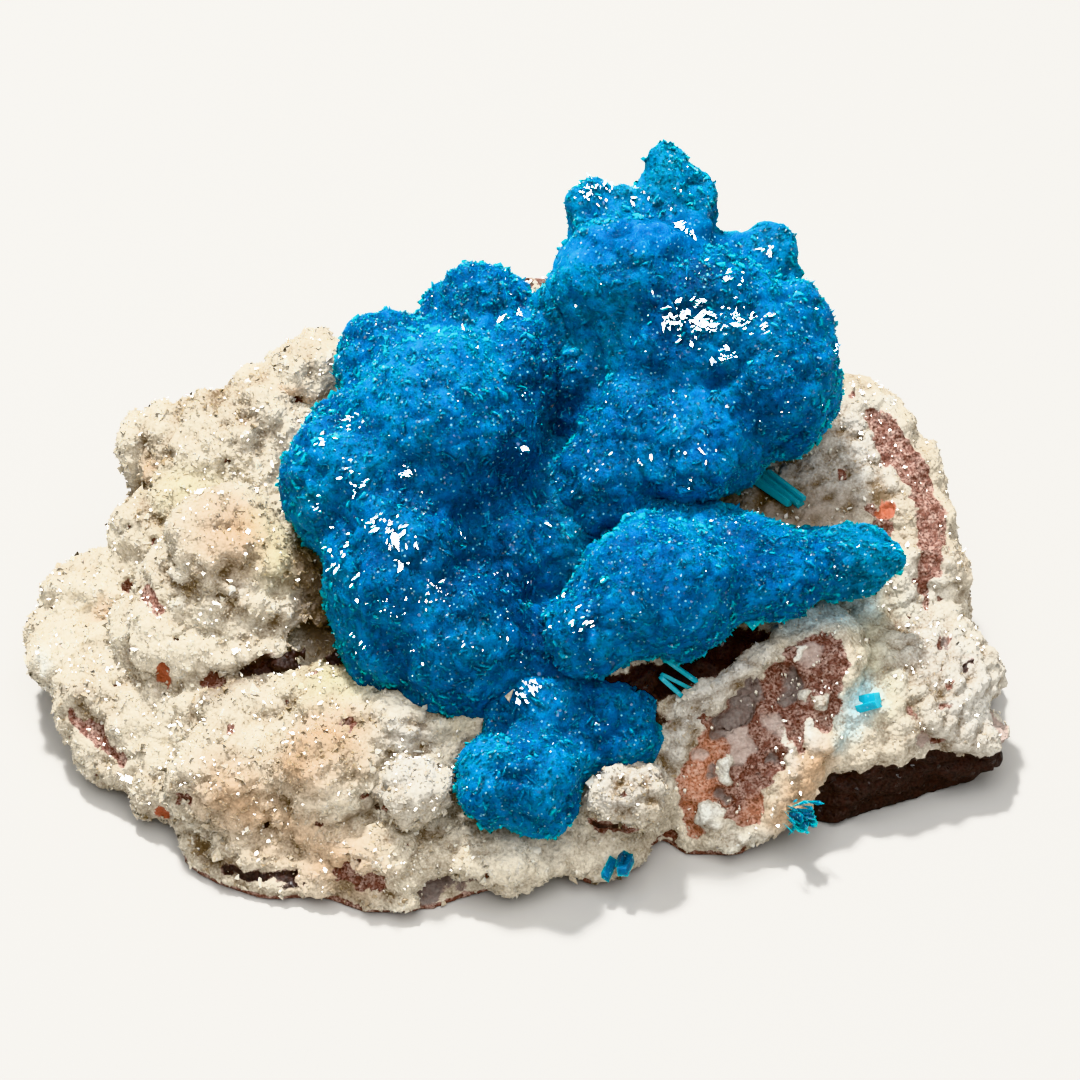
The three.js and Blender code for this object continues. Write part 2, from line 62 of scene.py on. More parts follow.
# ---- Meshes -------------------------------------------------------------------------------


@dataclass
class Surface:
    """A mesh of triangles in millimetres.

    Args:
        points: one row of x, y, z for each corner.
        faces: one row of three corner numbers for each triangle.
        values: named numbers or vectors, one for each corner, which the materials read.
        smooth: whether each triangle is shaded smooth.
    """

    points: np.ndarray
    faces: np.ndarray
    values: dict[str, np.ndarray] = field(default_factory=dict)
    smooth: np.ndarray | None = None

    @classmethod
    def from_mesh(cls, mesh: bpy.types.Mesh) -> "Surface":
        """Read a Blender mesh.

        Args:
            mesh: the mesh, in metres.

        Returns:
            Its triangles, in millimetres.
        """
        mesh.calc_loop_triangles()
        points = np.empty(len(mesh.vertices) * 3, np.float32)
        mesh.vertices.foreach_get("co", points)
        faces = np.empty(len(mesh.loop_triangles) * 3, np.int32)
        mesh.loop_triangles.foreach_get("vertices", faces)
        return cls(points.reshape(-1, 3).astype(float) / MM, faces.reshape(-1, 3))

    @classmethod
    def joined(cls, parts: list["Surface"]) -> "Surface":
        """Put several surfaces into one.

        Args:
            parts: the surfaces; a value that one of them lacks is 0 there.

        Returns:
            The one surface.
        """
        values = {}
        for name in sorted({name for part in parts for name in part.values}):
            width = next(part.values[name].shape[1:] for part in parts if name in part.values)
            columns = [part.values.get(name, np.zeros((len(part.points), *width))) for part in parts]
            values[name] = np.concatenate(columns)
        offsets = np.cumsum([0] + [len(part.points) for part in parts[:-1]])
        smooth = [np.zeros(len(p.faces), bool) if p.smooth is None else p.smooth for p in parts]
        return cls(
            np.concatenate([part.points for part in parts]),
            np.concatenate([part.faces + offset for part, offset in zip(parts, offsets)]),
            values,
            np.concatenate(smooth),
        )

    def face_normals(self) -> np.ndarray:
        """Each triangle's normal, as long as twice its area."""
        a, b, c = (self.points[self.faces[:, k]] for k in range(3))
        return np.cross(b - a, c - a)

    def normals(self) -> np.ndarray:
        """Find which way the surface faces at each corner.

        Returns:
            Unit normals, in which each triangle counts by its area.
        """
        totals = np.zeros_like(self.points)
        face_normals = self.face_normals()
        for k in range(3):
            np.add.at(totals, self.faces[:, k], face_normals)
        return unit(totals)

    def relaxed(self, rounds: int, share: float = 0.5) -> "Surface":
        """Move each corner towards the mean of its neighbours, to round off edges.

        Args:
            rounds: how often that is done.
            share: how far a corner moves each time, as a share of the way.

        Returns:
            The rounder surface.
        """
        pairs = np.concatenate([self.faces[:, [0, 1]], self.faces[:, [1, 2]], self.faces[:, [2, 0]]])
        pairs = np.concatenate([pairs, pairs[:, ::-1]])
        count = len(self.points)
        degree = np.bincount(pairs[:, 0], minlength=count)[:, None]
        points = self.points
        for _ in range(rounds):
            sums = np.stack(
                [np.bincount(pairs[:, 0], points[pairs[:, 1], k], count) for k in range(3)], axis=1
            )
            points = points + share * (sums / degree - points)
        return Surface(points, self.faces, self.values, self.smooth)

    def remeshed(self, voxel: float) -> "Surface":
        """Make one even skin of the same form, with overlaps melted into it.

        Args:
            voxel: the distance between the skin's corners.

        Returns:
            The skin.
        """
        piece = self.to_object("remesh")
        modifier = piece.modifiers.new("skin", "REMESH")
        modifier.mode = "VOXEL"
        modifier.voxel_size = voxel * MM
        evaluated = piece.evaluated_get(bpy.context.evaluated_depsgraph_get())
        result = Surface.from_mesh(evaluated.to_mesh())
        evaluated.to_mesh_clear()
        mesh = piece.data
        bpy.data.objects.remove(piece)
        bpy.data.meshes.remove(mesh)
        return result

    def tree(self) -> BVHTree:
        """The surface as a search tree."""
        return BVHTree.FromPolygons(self.points.tolist(), self.faces.tolist())

    def to_object(self, name: str) -> bpy.types.Object:
        """Make a Blender object of the surface, in metres, in the model's frame.

        Args:
            name: the object's name.

        Returns:
            The object, which is in the scene.
        """
        mesh = bpy.data.meshes.new(name)
        mesh.vertices.add(len(self.points))
        mesh.vertices.foreach_set("co", (self.points * MM).astype(np.float32).ravel())
        mesh.loops.add(3 * len(self.faces))
        mesh.loops.foreach_set("vertex_index", self.faces.astype(np.int32).ravel())
        mesh.polygons.add(len(self.faces))
        mesh.polygons.foreach_set("loop_start", np.arange(0, 3 * len(self.faces), 3, dtype=np.int32))
        if self.smooth is not None:
            mesh.polygons.foreach_set("use_smooth", self.smooth)
        for value_name, value in self.values.items():
            kind, item = ("FLOAT", "value") if value.ndim == 1 else ("FLOAT_VECTOR", "vector")
            attribute = mesh.attributes.new(value_name, kind, "POINT")
            attribute.data.foreach_set(item, value.astype(np.float32).ravel())
        mesh.update(calc_edges=True)
        mesh.validate()
        piece = bpy.data.objects.new(name, mesh)
        bpy.context.scene.collection.objects.link(piece)
        bpy.context.view_layer.update()
        return piece


def unit(vectors: np.ndarray) -> np.ndarray:
    """The same directions with a length of 1."""
    lengths = np.linalg.norm(vectors, axis=-1, keepdims=True)
    return vectors / np.maximum(lengths, 1e-12)


def perlin(points: np.ndarray, spacing: float, octaves: int = 1) -> np.ndarray:
    """Smooth noise from about -1 to 1.

    Args:
        points: where to read it.
        spacing: the distance from one bump to the next.
        octaves: how many ever finer layers are added up.

    Returns:
        One number for each point.
    """
    scaled = points / spacing
    if octaves == 1:
        return np.array([noise.noise(p) for p in scaled])
    return np.array([noise.fractal(p, 1.0, 2.0, octaves) for p in scaled])


def warped(points: np.ndarray, step: float, spacing: float) -> np.ndarray:
    """How far smooth noise moves each point, along X, Y and Z; step sets the three apart."""
    return np.stack([perlin(points + step * k, spacing, 2) for k in range(3)], 1)


def domes(points: np.ndarray, spacing: float) -> np.ndarray:
    """Rounded knobs with sharp creases between them, about 0.35 on a knob and -0.6 in a crease."""
    away = np.array([noise.voronoi(p)[0][0] for p in points / spacing])
    return 0.35 - np.minimum(away**2, 1.0)


def scatter(
    surface: Surface, per_mm2: float, weight: np.ndarray, random: np.random.Generator
) -> tuple[np.ndarray, np.ndarray, np.ndarray]:
    """Spread points over a surface.

    Args:
        surface: where they lie.
        per_mm2: how many there are on one square millimetre.
        weight: from 0 to 1 for each corner, the share that stays.
        random: the source of chance.

    Returns:
        The points, their normals and the first corner of each point's triangle.
    """
    areas = 0.5 * np.linalg.norm(surface.face_normals(), axis=1)
    areas = areas * weight[surface.faces].mean(axis=1)
    count = int(areas.sum() * per_mm2)
    chosen = random.choice(len(areas), count, p=areas / areas.sum())
    shares = random.dirichlet((1, 1, 1), count)
    corners = surface.faces[chosen]
    normals = surface.normals()
    points = np.einsum("ij,ijk->ik", shares, surface.points[corners])
    return points, unit(np.einsum("ij,ijk->ik", shares, normals[corners])), corners[:, 0]


# ---- Crystals -----------------------------------------------------------------------------

CHISEL_EDGE = 0.22  # half a chisel's edge, as a share of the crystal's width
CHISEL_DROP = 0.04  # how far one end of that edge lies below the other, as a share of the length
SLIM_SPREAD = 0.2  # how unlike the thicknesses are, as the standard deviation of their logarithm
TIP_SKEW = 0.9  # how far a tip strays sideways, as a share of the corners' unevenness
FLASH_PROUD = 0.25  # how far a flashing face stands above the ground, clear of its neighbours
SMALL_FLASH_PROUD = 0.22  # the same for the small ones on the sprays
SMALL_FLASH_SIZE = 0.17  # how large those are, as a share of the spray's own plate


class Ending(Enum):
    """How a crystal ends. A tooth is a tip alone, for crystals whose rest is buried."""

    TOOTH = "tooth"
    POINT = "point"
    CHISEL = "chisel"
    FLAT = "flat"
    BLOCK = "block"


@dataclass(frozen=True)
class Habit:
    """The form of one kind of crystal.

    Args:
        width: the wide side of its section.
        thickness: the narrow side, as a share of the width.
        length: from its buried foot to its tip.
        shoulder: where the tip's faces begin, as a share of the length.
        spread: how unlike the sizes are, as the standard deviation of their logarithm.
        lean: how far the axes stray from the common direction.
        ending: the form of the tip.
        uneven: how far its corners stray, as the standard deviation of their logarithm.
    """

    width: float
    thickness: float
    length: float
    shoulder: float
    spread: float
    lean: float
    ending: Ending
    uneven: float = 0.22

    def template(self) -> tuple[np.ndarray, np.ndarray]:
        """Make one crystal of width, thickness and length 1.

        Returns:
            Its corners and its triangles.
        """
        ring = [(0.5, 0), (0, 0.5), (-0.5, 0), (0, -0.5)]
        if self.ending is Ending.TOOTH:
            corners = [(x, y, 0) for x, y in ring] + [(0, 0, 1)]
            return np.array(corners, float), np.array([(0, 1, 4), (1, 2, 4), (2, 3, 4), (3, 0, 4)])
        if self.ending is Ending.BLOCK:
            corners = [(x, y, z) for z in (0, 1) for x, y in ring]
            around = [(k, (k + 1) % 4) for k in range(4)]
            faces = [face for a, b in around for face in ((a, b, b + 4), (a, b + 4, a + 4))]
            ends = [(4, 5, 6), (4, 6, 7), (0, 2, 1), (0, 3, 2)]
            return np.array(corners, float), np.array(faces + ends)
        corners = [(0, 0, 0)] + [(x, y, self.shoulder) for x, y in ring]
        faces = [(0, 2, 1), (0, 3, 2), (0, 4, 3), (0, 1, 4)]
        if self.ending is Ending.POINT:
            corners.append((0, 0, 1))
            faces += [(1, 2, 5), (2, 3, 5), (3, 4, 5), (4, 1, 5)]
        elif self.ending is Ending.FLAT:
            faces += [(1, 2, 3), (1, 3, 4)]
        else:
            corners += [(CHISEL_EDGE, 0, 1), (-CHISEL_EDGE, 0, 1 - CHISEL_DROP)]
            faces += [(1, 2, 5), (2, 3, 6), (2, 6, 5), (3, 4, 6), (4, 1, 5), (4, 5, 6)]
        return np.array(corners, float), np.array(faces)

    def grow(
        self,
        tips: np.ndarray,
        directions: np.ndarray,
        random: np.random.Generator,
        sizes: np.ndarray | None = None,
        sides: np.ndarray | None = None,
    ) -> Surface:
        """Grow one crystal to each tip.

        Args:
            tips: where the crystals end.
            directions: which way they point.
            random: the source of chance.
            sizes: each crystal's size, as a share of the habit's own.
            sides: which way each crystal's wide side runs; left to chance if not given.

        Returns:
            All the crystals as one surface, with a shade for each crystal.
        """
        corners, faces = self.template()
        count = len(tips)
        axis = unit(directions + self.lean * random.normal(size=(count, 3)))
        side = random.normal(size=(count, 3)) if sides is None else sides
        side = unit(np.cross(np.cross(axis, side), axis))
        across = np.cross(axis, side)
        size = np.exp(self.spread * random.normal(size=(count, 1, 1)))
        if sizes is not None:
            size *= sizes[:, None, None]
        slim = np.exp(SLIM_SPREAD * random.normal(size=(count, 1, 1)))
        uneven = np.exp(self.uneven * random.normal(size=(count, len(corners), 1)))
        at_tip = (corners[:, 2] > 0.99)[None, :, None]
        skew = TIP_SKEW * self.uneven * random.normal(size=(2, count, 1, 1)) * at_tip
        x = corners[None, :, :1] * uneven + skew[0]
        y = corners[None, :, 1:2] * uneven + skew[1]
        z = corners[None, :, 2:] - corners[:, 2].max()
        points = (
            tips[:, None]
            + x * self.width * size * side[:, None]
            + y * self.width * self.thickness * size * slim * across[:, None]
            + z * self.length * size * axis[:, None]
        )
        offsets = len(corners) * np.arange(count)[:, None, None]
        return Surface(
            points.reshape(-1, 3),
            (faces[None] + offsets).reshape(-1, 3),
            {"shade": np.repeat(random.random(count), len(corners))},
            np.zeros(count * len(faces), bool),
        )


# ---- Finishes -----------------------------------------------------------------------------

MULTIPLY = {"operation": "MULTIPLY"}
MULTIPLY_ADD = {"operation": "MULTIPLY_ADD"}
MAXIMUM = {"operation": "MAXIMUM"}
SUBTRACT = {"operation": "SUBTRACT"}
ABSOLUTE = {"operation": "ABSOLUTE"}
NORMALIZE = {"operation": "NORMALIZE"}
COLOURS = {"data_type": "RGBA"}
VECTORS = {"data_type": "VECTOR"}


def linear(hex_colour: str) -> tuple[float, float, float, float]:
    """Turn an sRGB colour to a linear one.

    Args:
        hex_colour: the colour, such as "#cbc0ac".

    Returns:
        Red, green, blue and alpha, from 0 to 1.
    """
    channels = [int(hex_colour[k : k + 2], 16) / 255 for k in (1, 3, 5)]
    red, green, blue = (
        c / 12.92 if c <= 0.04045 else ((c + 0.055) / 1.055) ** 2.4 for c in channels
    )
    return red, green, blue, 1.0


def per_metre(millimetres: float) -> float:
    """The scale of a texture whose features are that wide."""
    return 1 / (millimetres * MM)


def add(
    tree: bpy.types.NodeTree,
    kind: str,
    settings: dict[str, object] | None = None,
    inputs: dict[str | int, object] | None = None,
    output: str | int = 0,
) -> bpy.types.NodeSocket:
    """Add a node to a material.

    Args:
        tree: the material's node tree.
        kind: the node's type, without its "ShaderNode".
        settings: properties of the node itself.
        inputs: for each socket, by name or number, a value or the output that feeds it.
        output: the name or number of the output that is wanted.

    Returns:
        That output.
    """
    node = tree.nodes.new("ShaderNode" + kind)
    for name, value in (settings or {}).items():
        setattr(node, name, value)
    for name, value in (inputs or {}).items():
        if isinstance(value, bpy.types.NodeSocket):
            tree.links.new(value, node.inputs[name])
        else:
            node.inputs[name].default_value = value
    return node.outputs[output]


@dataclass(frozen=True)
class Glass:
    """How the faces of a crystal shine.

    Args:
        ior: refractive index.
        facet_mm: width of the facets that flash.
        flashing: share of the facets that are smooth and turned enough to flash.
        tilt: how far those facets are turned.
        grain_mm: width of the fine relief on the rest.
    """

    ior: float
    facet_mm: float
    flashing: float
    tilt: float
    grain_mm: float

    def facets(
        self, tree: bpy.types.NodeTree, place: bpy.types.NodeSocket, normal: bpy.types.NodeSocket
    ) -> tuple[bpy.types.NodeSocket, bpy.types.NodeSocket]:
        """Pick the facets that flash, and turn each its own way.

        Args:
            tree: the material's node tree.
            place: the coordinates of the facets.
            normal: which way the ground under them faces.

        Returns:
            1 on those facets and 0 elsewhere, and which way they face.
        """
        inputs = {"Vector": place, "Scale": per_metre(self.facet_mm)}
        chance = add(tree, "TexVoronoi", {}, inputs, "Color")
        centre = add(tree, "TexVoronoi", {}, inputs, "Position")
        chance = add(tree, "SeparateColor", {}, {0: chance}, 0)
        edges = {0: chance, 1: 1 - self.flashing, 2: 1.01 - self.flashing}
        flash = add(tree, "MapRange", {}, edges)
        turn = add(tree, "TexWhiteNoise", {}, {"Vector": centre}, "Color")
        turn = add(tree, "VectorMath", SUBTRACT, {0: turn, 1: (0.5, 0.5, 0.5)})
        inputs = {0: turn, 1: (self.tilt, self.tilt, self.tilt), 2: normal}
        facet = add(tree, "VectorMath", MULTIPLY_ADD, inputs)
        return flash, add(tree, "VectorMath", NORMALIZE, {0: facet})

    def relief(
        self,
        tree: bpy.types.NodeTree,
        place: bpy.types.NodeSocket,
        gloss: bpy.types.NodeSocket,
        normal: bpy.types.NodeSocket,
    ) -> bpy.types.NodeSocket:
        """The fine relief of the dull ground.

        Args:
            tree: the material's node tree.
            place: the coordinates of the grains.
            gloss: 1 on crystals that are smooth as a whole, which have none.
            normal: which way the ground faces.

        Returns:
            Which way the grains' sides face.
        """
        inputs = {"Vector": place, "Scale": per_metre(self.grain_mm)}
        grain = add(tree, "TexVoronoi", {}, inputs, "Distance")
        strength = add(tree, "MapRange", {}, {0: gloss, 3: 0.7, 4: 0.0})
        inputs = {"Strength": strength, "Distance": 0.5 * self.grain_mm * MM, "Height": grain}
        inputs["Normal"] = normal
        return add(tree, "Bump", {"invert": True}, inputs)

    def polish(
        self,
        tree: bpy.types.NodeTree,
        place: bpy.types.NodeSocket,
        gloss: bpy.types.NodeSocket,
        rough: tuple[float, float],
        dull: float,
    ) -> None:
        """Set roughness, strength of reflection and relief.

        Small crystals take most of their light as the surface that they stand on does, because
        light passes through them; the attribute "lie" holds that surface's normal.

        Args:
            tree: the material's node tree.
            place: the coordinates of the facets.
            gloss: 1 on crystals that are smooth as a whole.
            rough: roughness of dull ground and of flashing facets.
            dull: strength of reflection on dull ground.
        """
        shader = tree.nodes["Principled BSDF"]
        lie = add(tree, "Attribute", {"attribute_name": "lie"}, {}, "Vector")
        own = add(tree, "NewGeometry", {}, {}, "Normal")
        normal = add(tree, "VectorMath", MULTIPLY_ADD, {0: lie, 1: (3, 3, 3), 2: own})
        normal = add(tree, "VectorMath", NORMALIZE, {0: normal})
        flash, facet = self.facets(tree, place, normal)
        relief = self.relief(tree, place, gloss, normal)
        matt = add(tree, "MapRange", {}, {0: gloss, 3: 1.0, 4: 0.0})
        turned = add(tree, "Math", MULTIPLY, {0: matt, 1: flash})
        normal = add(tree, "Mix", VECTORS, {0: turned, 4: relief, 5: facet}, 1)
        bright = add(tree, "Math", MAXIMUM, {0: gloss, 1: flash})
        roughness = add(tree, "MapRange", {}, {0: bright, 3: rough[0], 4: rough[1]})
        strength = add(tree, "MapRange", {}, {0: bright, 3: dull, 4: 0.5})
        tree.links.new(normal, shader.inputs["Normal"])
        tree.links.new(roughness, shader.inputs["Roughness"])
        tree.links.new(strength, shader.inputs["Specular IOR Level"])
        shader.inputs["IOR"].default_value = self.ior


@dataclass(frozen=True)
class CavansiteFinish:
    """Cavansite, grown as vitreous, slightly translucent blades.

    The light that enters it comes back deep blue, so the sprays glow more than they shade. Soft
    clouds of navy and azure lie in it, with a fine grain of blade ends, thin pale threads where
    blades lie flat, and small pale specks painted on as glints. Creases are painted darker as
    shade, and placed spots lighter and darker as light and shade. Where it is clear, what lies
    behind shows through it.

    Args:
        name: the material's name.
        deep: the colour of dense crystals in shade.
        body: the colour of most of it.
        clear: the colour of thin, bright crystals, and of painted light.
        sea: the green that thin edges take on.
        thread: the colour of blades that lie flat.
        speck: the colour of the painted glints, and of light that has passed through.
        mottle_mm: from one cloud to the next, as wide as a group of blades.
        clump_mm: from one head of blades to the next; the creases between heads are painted darker, as
            shade.
        streak_mm: width of a blade, from its centre outwards.
        grain_mm: width of a blade's end. Real ones start at 0.05 mm, which is too fine to show.
        thread_mm: from one thread to the next.
        run_mm: from one stretch that has threads to the next.
        painted_glint_mm: from one painted glint to the next. Real glints lie closer, too fine to show.
        painted_glint_crowd_mm: from one crowd of painted glints to the next.
        tint_mm: from one greenish stretch to the next.
        bend_mm: how far the heads are bent out of shape.
        glow_mm: how far light travels in it.
        clarity: the share of light that passes straight through.
        absorption_per_mm: how much of that light one millimetre takes away.
        glass: how its faces shine. Real facets of 0.1 mm are drawn twice as wide, to show.
    """

    name: str = "cavansite_vitreous_crystal"
    deep: str = "#003260"
    body: str = "#005a96"
    clear: str = "#0482b8"
    sea: str = "#0680a6"
    thread: str = "#2ca4d0"
    speck: str = "#86d6ee"
    mottle_mm: float = 2.6
    clump_mm: float = 1.9
    streak_mm: float = 0.45
    grain_mm: float = 0.2
    thread_mm: float = 1.1
    run_mm: float = 0.7
    painted_glint_mm: float = 0.34
    painted_glint_crowd_mm: float = 3.0
    tint_mm: float = 9.0
    bend_mm: float = 1.6
    glow_mm: float = 2.6
    clarity: float = 0.0
    absorption_per_mm: float = 0.0
    glass: Glass = Glass(ior=1.54, facet_mm=0.2, flashing=0.07, tilt=1.3, grain_mm=0.24)

    def density_and_shade(
        self, tree: bpy.types.NodeTree, place: bpy.types.NodeSocket
    ) -> bpy.types.NodeSocket:
        """How clear the crystals are at each place, with painted light and shade.

        Args:
            tree: the material's node tree.
            place: the coordinates of the clouds.

        Returns:
            About 0 where dense or painted in shade, and 1 where clear or painted in light.
        """
        growth = add(tree, "Attribute", {"attribute_name": "growth"}, {}, "Vector")
        shade, hollow, tone = (
            add(tree, "Attribute", {"attribute_name": name}, {}, "Fac")
            for name in ("shade", "hollow", "tone")
        )
        along = add(tree, "VectorMath", MULTIPLY_ADD, {0: place, 1: (0.3, 0.3, 0.3), 2: growth})
        streak = {"Vector": along, "Scale": per_metre(self.streak_mm), "Detail": 3.0}
        streak = add(tree, "TexNoise", {}, streak)
        mottle = {"Vector": place, "Scale": per_metre(self.mottle_mm), "Detail": 5.0}
        warp = add(tree, "TexNoise", {}, mottle, "Color")
        mottle = add(tree, "TexNoise", {}, mottle)
        bent = self.bend_mm * MM
        warp = add(tree, "VectorMath", MULTIPLY_ADD, {0: warp, 1: (bent, bent, bent), 2: place})
        painted_clump_shade = {"Vector": warp, "Scale": per_metre(self.clump_mm)}
        painted_clump_shade = add(tree, "TexVoronoi", {}, painted_clump_shade, "Distance")
        grain = {"Vector": place, "Scale": per_metre(self.grain_mm), "Detail": 2.0}
        grain = add(tree, "TexNoise", {}, grain)
        light = mottle
        # the creases between heads and between knobs are painted darker, as shade, and the placed tones
        # paint light and shade
        for part, weight in (
            (streak, 0.3),
            (grain, 0.25),
            (shade, 0.06),
            (painted_clump_shade, -0.4),
            (hollow, -0.6),
            (tone, 0.5),
        ):
            light = add(tree, "Math", MULTIPLY_ADD, {0: part, 1: weight, 2: light})
        return light

    def clouds(
        self, tree: bpy.types.NodeTree, place: bpy.types.NodeSocket
    ) -> bpy.types.NodeSocket:
        """The blue that the light brings back, from the dense crystals to the clear ones.

        Args:
            tree: the material's node tree.
            place: the coordinates of the clouds.

        Returns:
            The colour.
        """
        light = self.density_and_shade(tree, place)
        thin = add(tree, "Attribute", {"attribute_name": "thin"}, {}, "Fac")
        low = add(tree, "MapRange", {}, {0: light, 1: 0.05, 2: 0.6})
        high = add(tree, "MapRange", {}, {0: light, 1: 0.5, 2: 1.15})
        colour = add(tree, "Mix", COLOURS, {0: low, 6: linear(self.deep), 7: linear(self.body)}, 2)
        colour = add(tree, "Mix", COLOURS, {0: high, 6: colour, 7: linear(self.clear)}, 2)
        tint = {"Vector": place, "Scale": per_metre(self.tint_mm), "Detail": 2.0}
        tint = add(tree, "TexNoise", {}, tint)
        tint = add(tree, "MapRange", {}, {0: tint, 1: 0.45, 2: 0.75, 3: 0.0, 4: 0.15})
        tint = add(tree, "Math", MULTIPLY_ADD, {0: thin, 1: 0.5, 2: tint})
        return add(tree, "Mix", COLOURS, {0: tint, 6: colour, 7: linear(self.sea)}, 2)

    def threads(
        self, tree: bpy.types.NodeTree, place: bpy.types.NodeSocket
    ) -> bpy.types.NodeSocket:
        """Thin curved lines, which run on only here and there.

        Args:
            tree: the material's node tree.
            place: the coordinates of the lines.

        Returns:
            0 beside a line and up to 1 on it.
        """
        inputs = {"Vector": place, "Scale": per_metre(self.thread_mm), "Detail": 1.0}
        line = add(tree, "TexNoise", {}, inputs)
        line = add(tree, "Math", SUBTRACT, {0: line, 1: 0.5})
        line = add(tree, "Math", ABSOLUTE, {0: line})
        line = add(tree, "MapRange", {}, {0: line, 1: 0.006, 2: 0.022, 3: 1.0, 4: 0.0})
        inputs = {"Vector": place, "Scale": per_metre(self.run_mm), "Detail": 2.0}
        here = add(tree, "TexNoise", {}, inputs)
        here = add(tree, "MapRange", {}, {0: here, 1: 0.54, 2: 0.66, 3: 0.0, 4: 0.6})
        return add(tree, "Math", MULTIPLY, {0: line, 1: here})

    def specks(
        self, tree: bpy.types.NodeTree, place: bpy.types.NodeSocket
    ) -> bpy.types.NodeSocket:
        """Small painted glints, which crowd in some places.

        Args:
            tree: the material's node tree.
            place: the coordinates of the glints.

        Returns:
            0 beside a speck and up to 1 on it.
        """
        inputs = {"Vector": place, "Scale": per_metre(self.painted_glint_mm)}
        away = add(tree, "TexVoronoi", {}, inputs, "Distance")
        chance = add(tree, "TexVoronoi", {}, inputs, "Color")
        chance = add(tree, "SeparateColor", {}, {0: chance}, 1)
        inputs = {"Vector": place, "Scale": per_metre(self.painted_glint_crowd_mm), "Detail": 2.0}
        crowd = add(tree, "TexNoise", {}, inputs)
        chance = add(tree, "Math", MULTIPLY_ADD, {0: crowd, 1: 0.6, 2: chance})
        dot = add(tree, "MapRange", {}, {0: away, 1: 0.18, 2: 0.34, 3: 1.0, 4: 0.0})
        chosen = add(tree, "MapRange", {}, {0: chance, 1: 1.02, 2: 1.2, 3: 0.0, 4: 0.8})
        return add(tree, "Math", MULTIPLY, {0: dot, 1: chosen})

    def material(self) -> bpy.types.Material:
        """Build the material.

        Returns:
            The material.
        """
        material = bpy.data.materials.new(self.name)
        material.use_nodes = True
        tree = material.node_tree
        shader = tree.nodes["Principled BSDF"]
        place = add(tree, "TexCoord", {}, {}, "Object")
        gloss = add(tree, "Attribute", {"attribute_name": "gloss"}, {}, "Fac")
        self.glass.polish(tree, place, gloss, (0.5, 0.15), 0.06)
        colour = self.clouds(tree, place)
        # the pale threads, then the small specks of painted glint
        for share, pale in (
            (self.threads(tree, place), self.thread),
            (self.specks(tree, place), self.speck),
        ):
            colour = add(tree, "Mix", COLOURS, {0: share, 6: colour, 7: linear(pale)}, 2)
        tree.links.new(colour, shader.inputs["Base Color"])
        shader.inputs["Subsurface Weight"].default_value = 0.85
        shader.inputs["Subsurface Radius"].default_value = (0.3, 1.0, 1.0)  # red fades first
        shader.inputs["Subsurface Scale"].default_value = self.glow_mm * MM
        if self.clarity > 0:
            shader.inputs["Transmission Weight"].default_value = self.clarity
            inputs = {"Color": linear(self.speck), "Density": self.absorption_per_mm / MM}
            depth = add(tree, "VolumeAbsorption", {}, inputs)
            tree.links.new(depth, tree.nodes["Material Output"].inputs["Volume"])
        return material


CLEAR_PRISM = CavansiteFinish(  # the lone prisms, through which the ground shows
    name="cavansite_clear_prism",
    deep="#18a4c4",
    body="#2cc4e0",
    clear="#66dcf0",
    sea="#34cce2",
    glow_mm=0.5,
    clarity=0.4,
    absorption_per_mm=0.3,
)


def crust_colour(
    tree: bpy.types.NodeTree, light: bpy.types.NodeSocket, dark: str, pale: str
) -> bpy.types.NodeSocket:
    """The crust's cream, with its stains and its patches of painted shade.

    Args:
        tree: the material's node tree.
        light: from 0 in the crust's hollows to 1 on its knobs.
        dark: the colour of painted shade in the hollows, and of darker crust.
        pale: the colour on the knobs.

    Returns:
        The colour.
    """
    colour = add(tree, "Mix", COLOURS, {0: light, 6: linear(dark), 7: linear(pale)}, 2)
    for ground in Ground:
        if ground.stain:
            share = add(tree, "Attribute", {"attribute_name": ground.name}, {}, "Fac")
            share = add(tree, "MapRange", {}, {0: share, 4: 0.85})
            ends = {0: light, 6: linear(dark), 7: linear(ground.colour)}
            tinted = add(tree, "Mix", COLOURS, ends, 2)
            colour = add(tree, "Mix", COLOURS, {0: share, 6: colour, 7: tinted}, 2)
    return colour


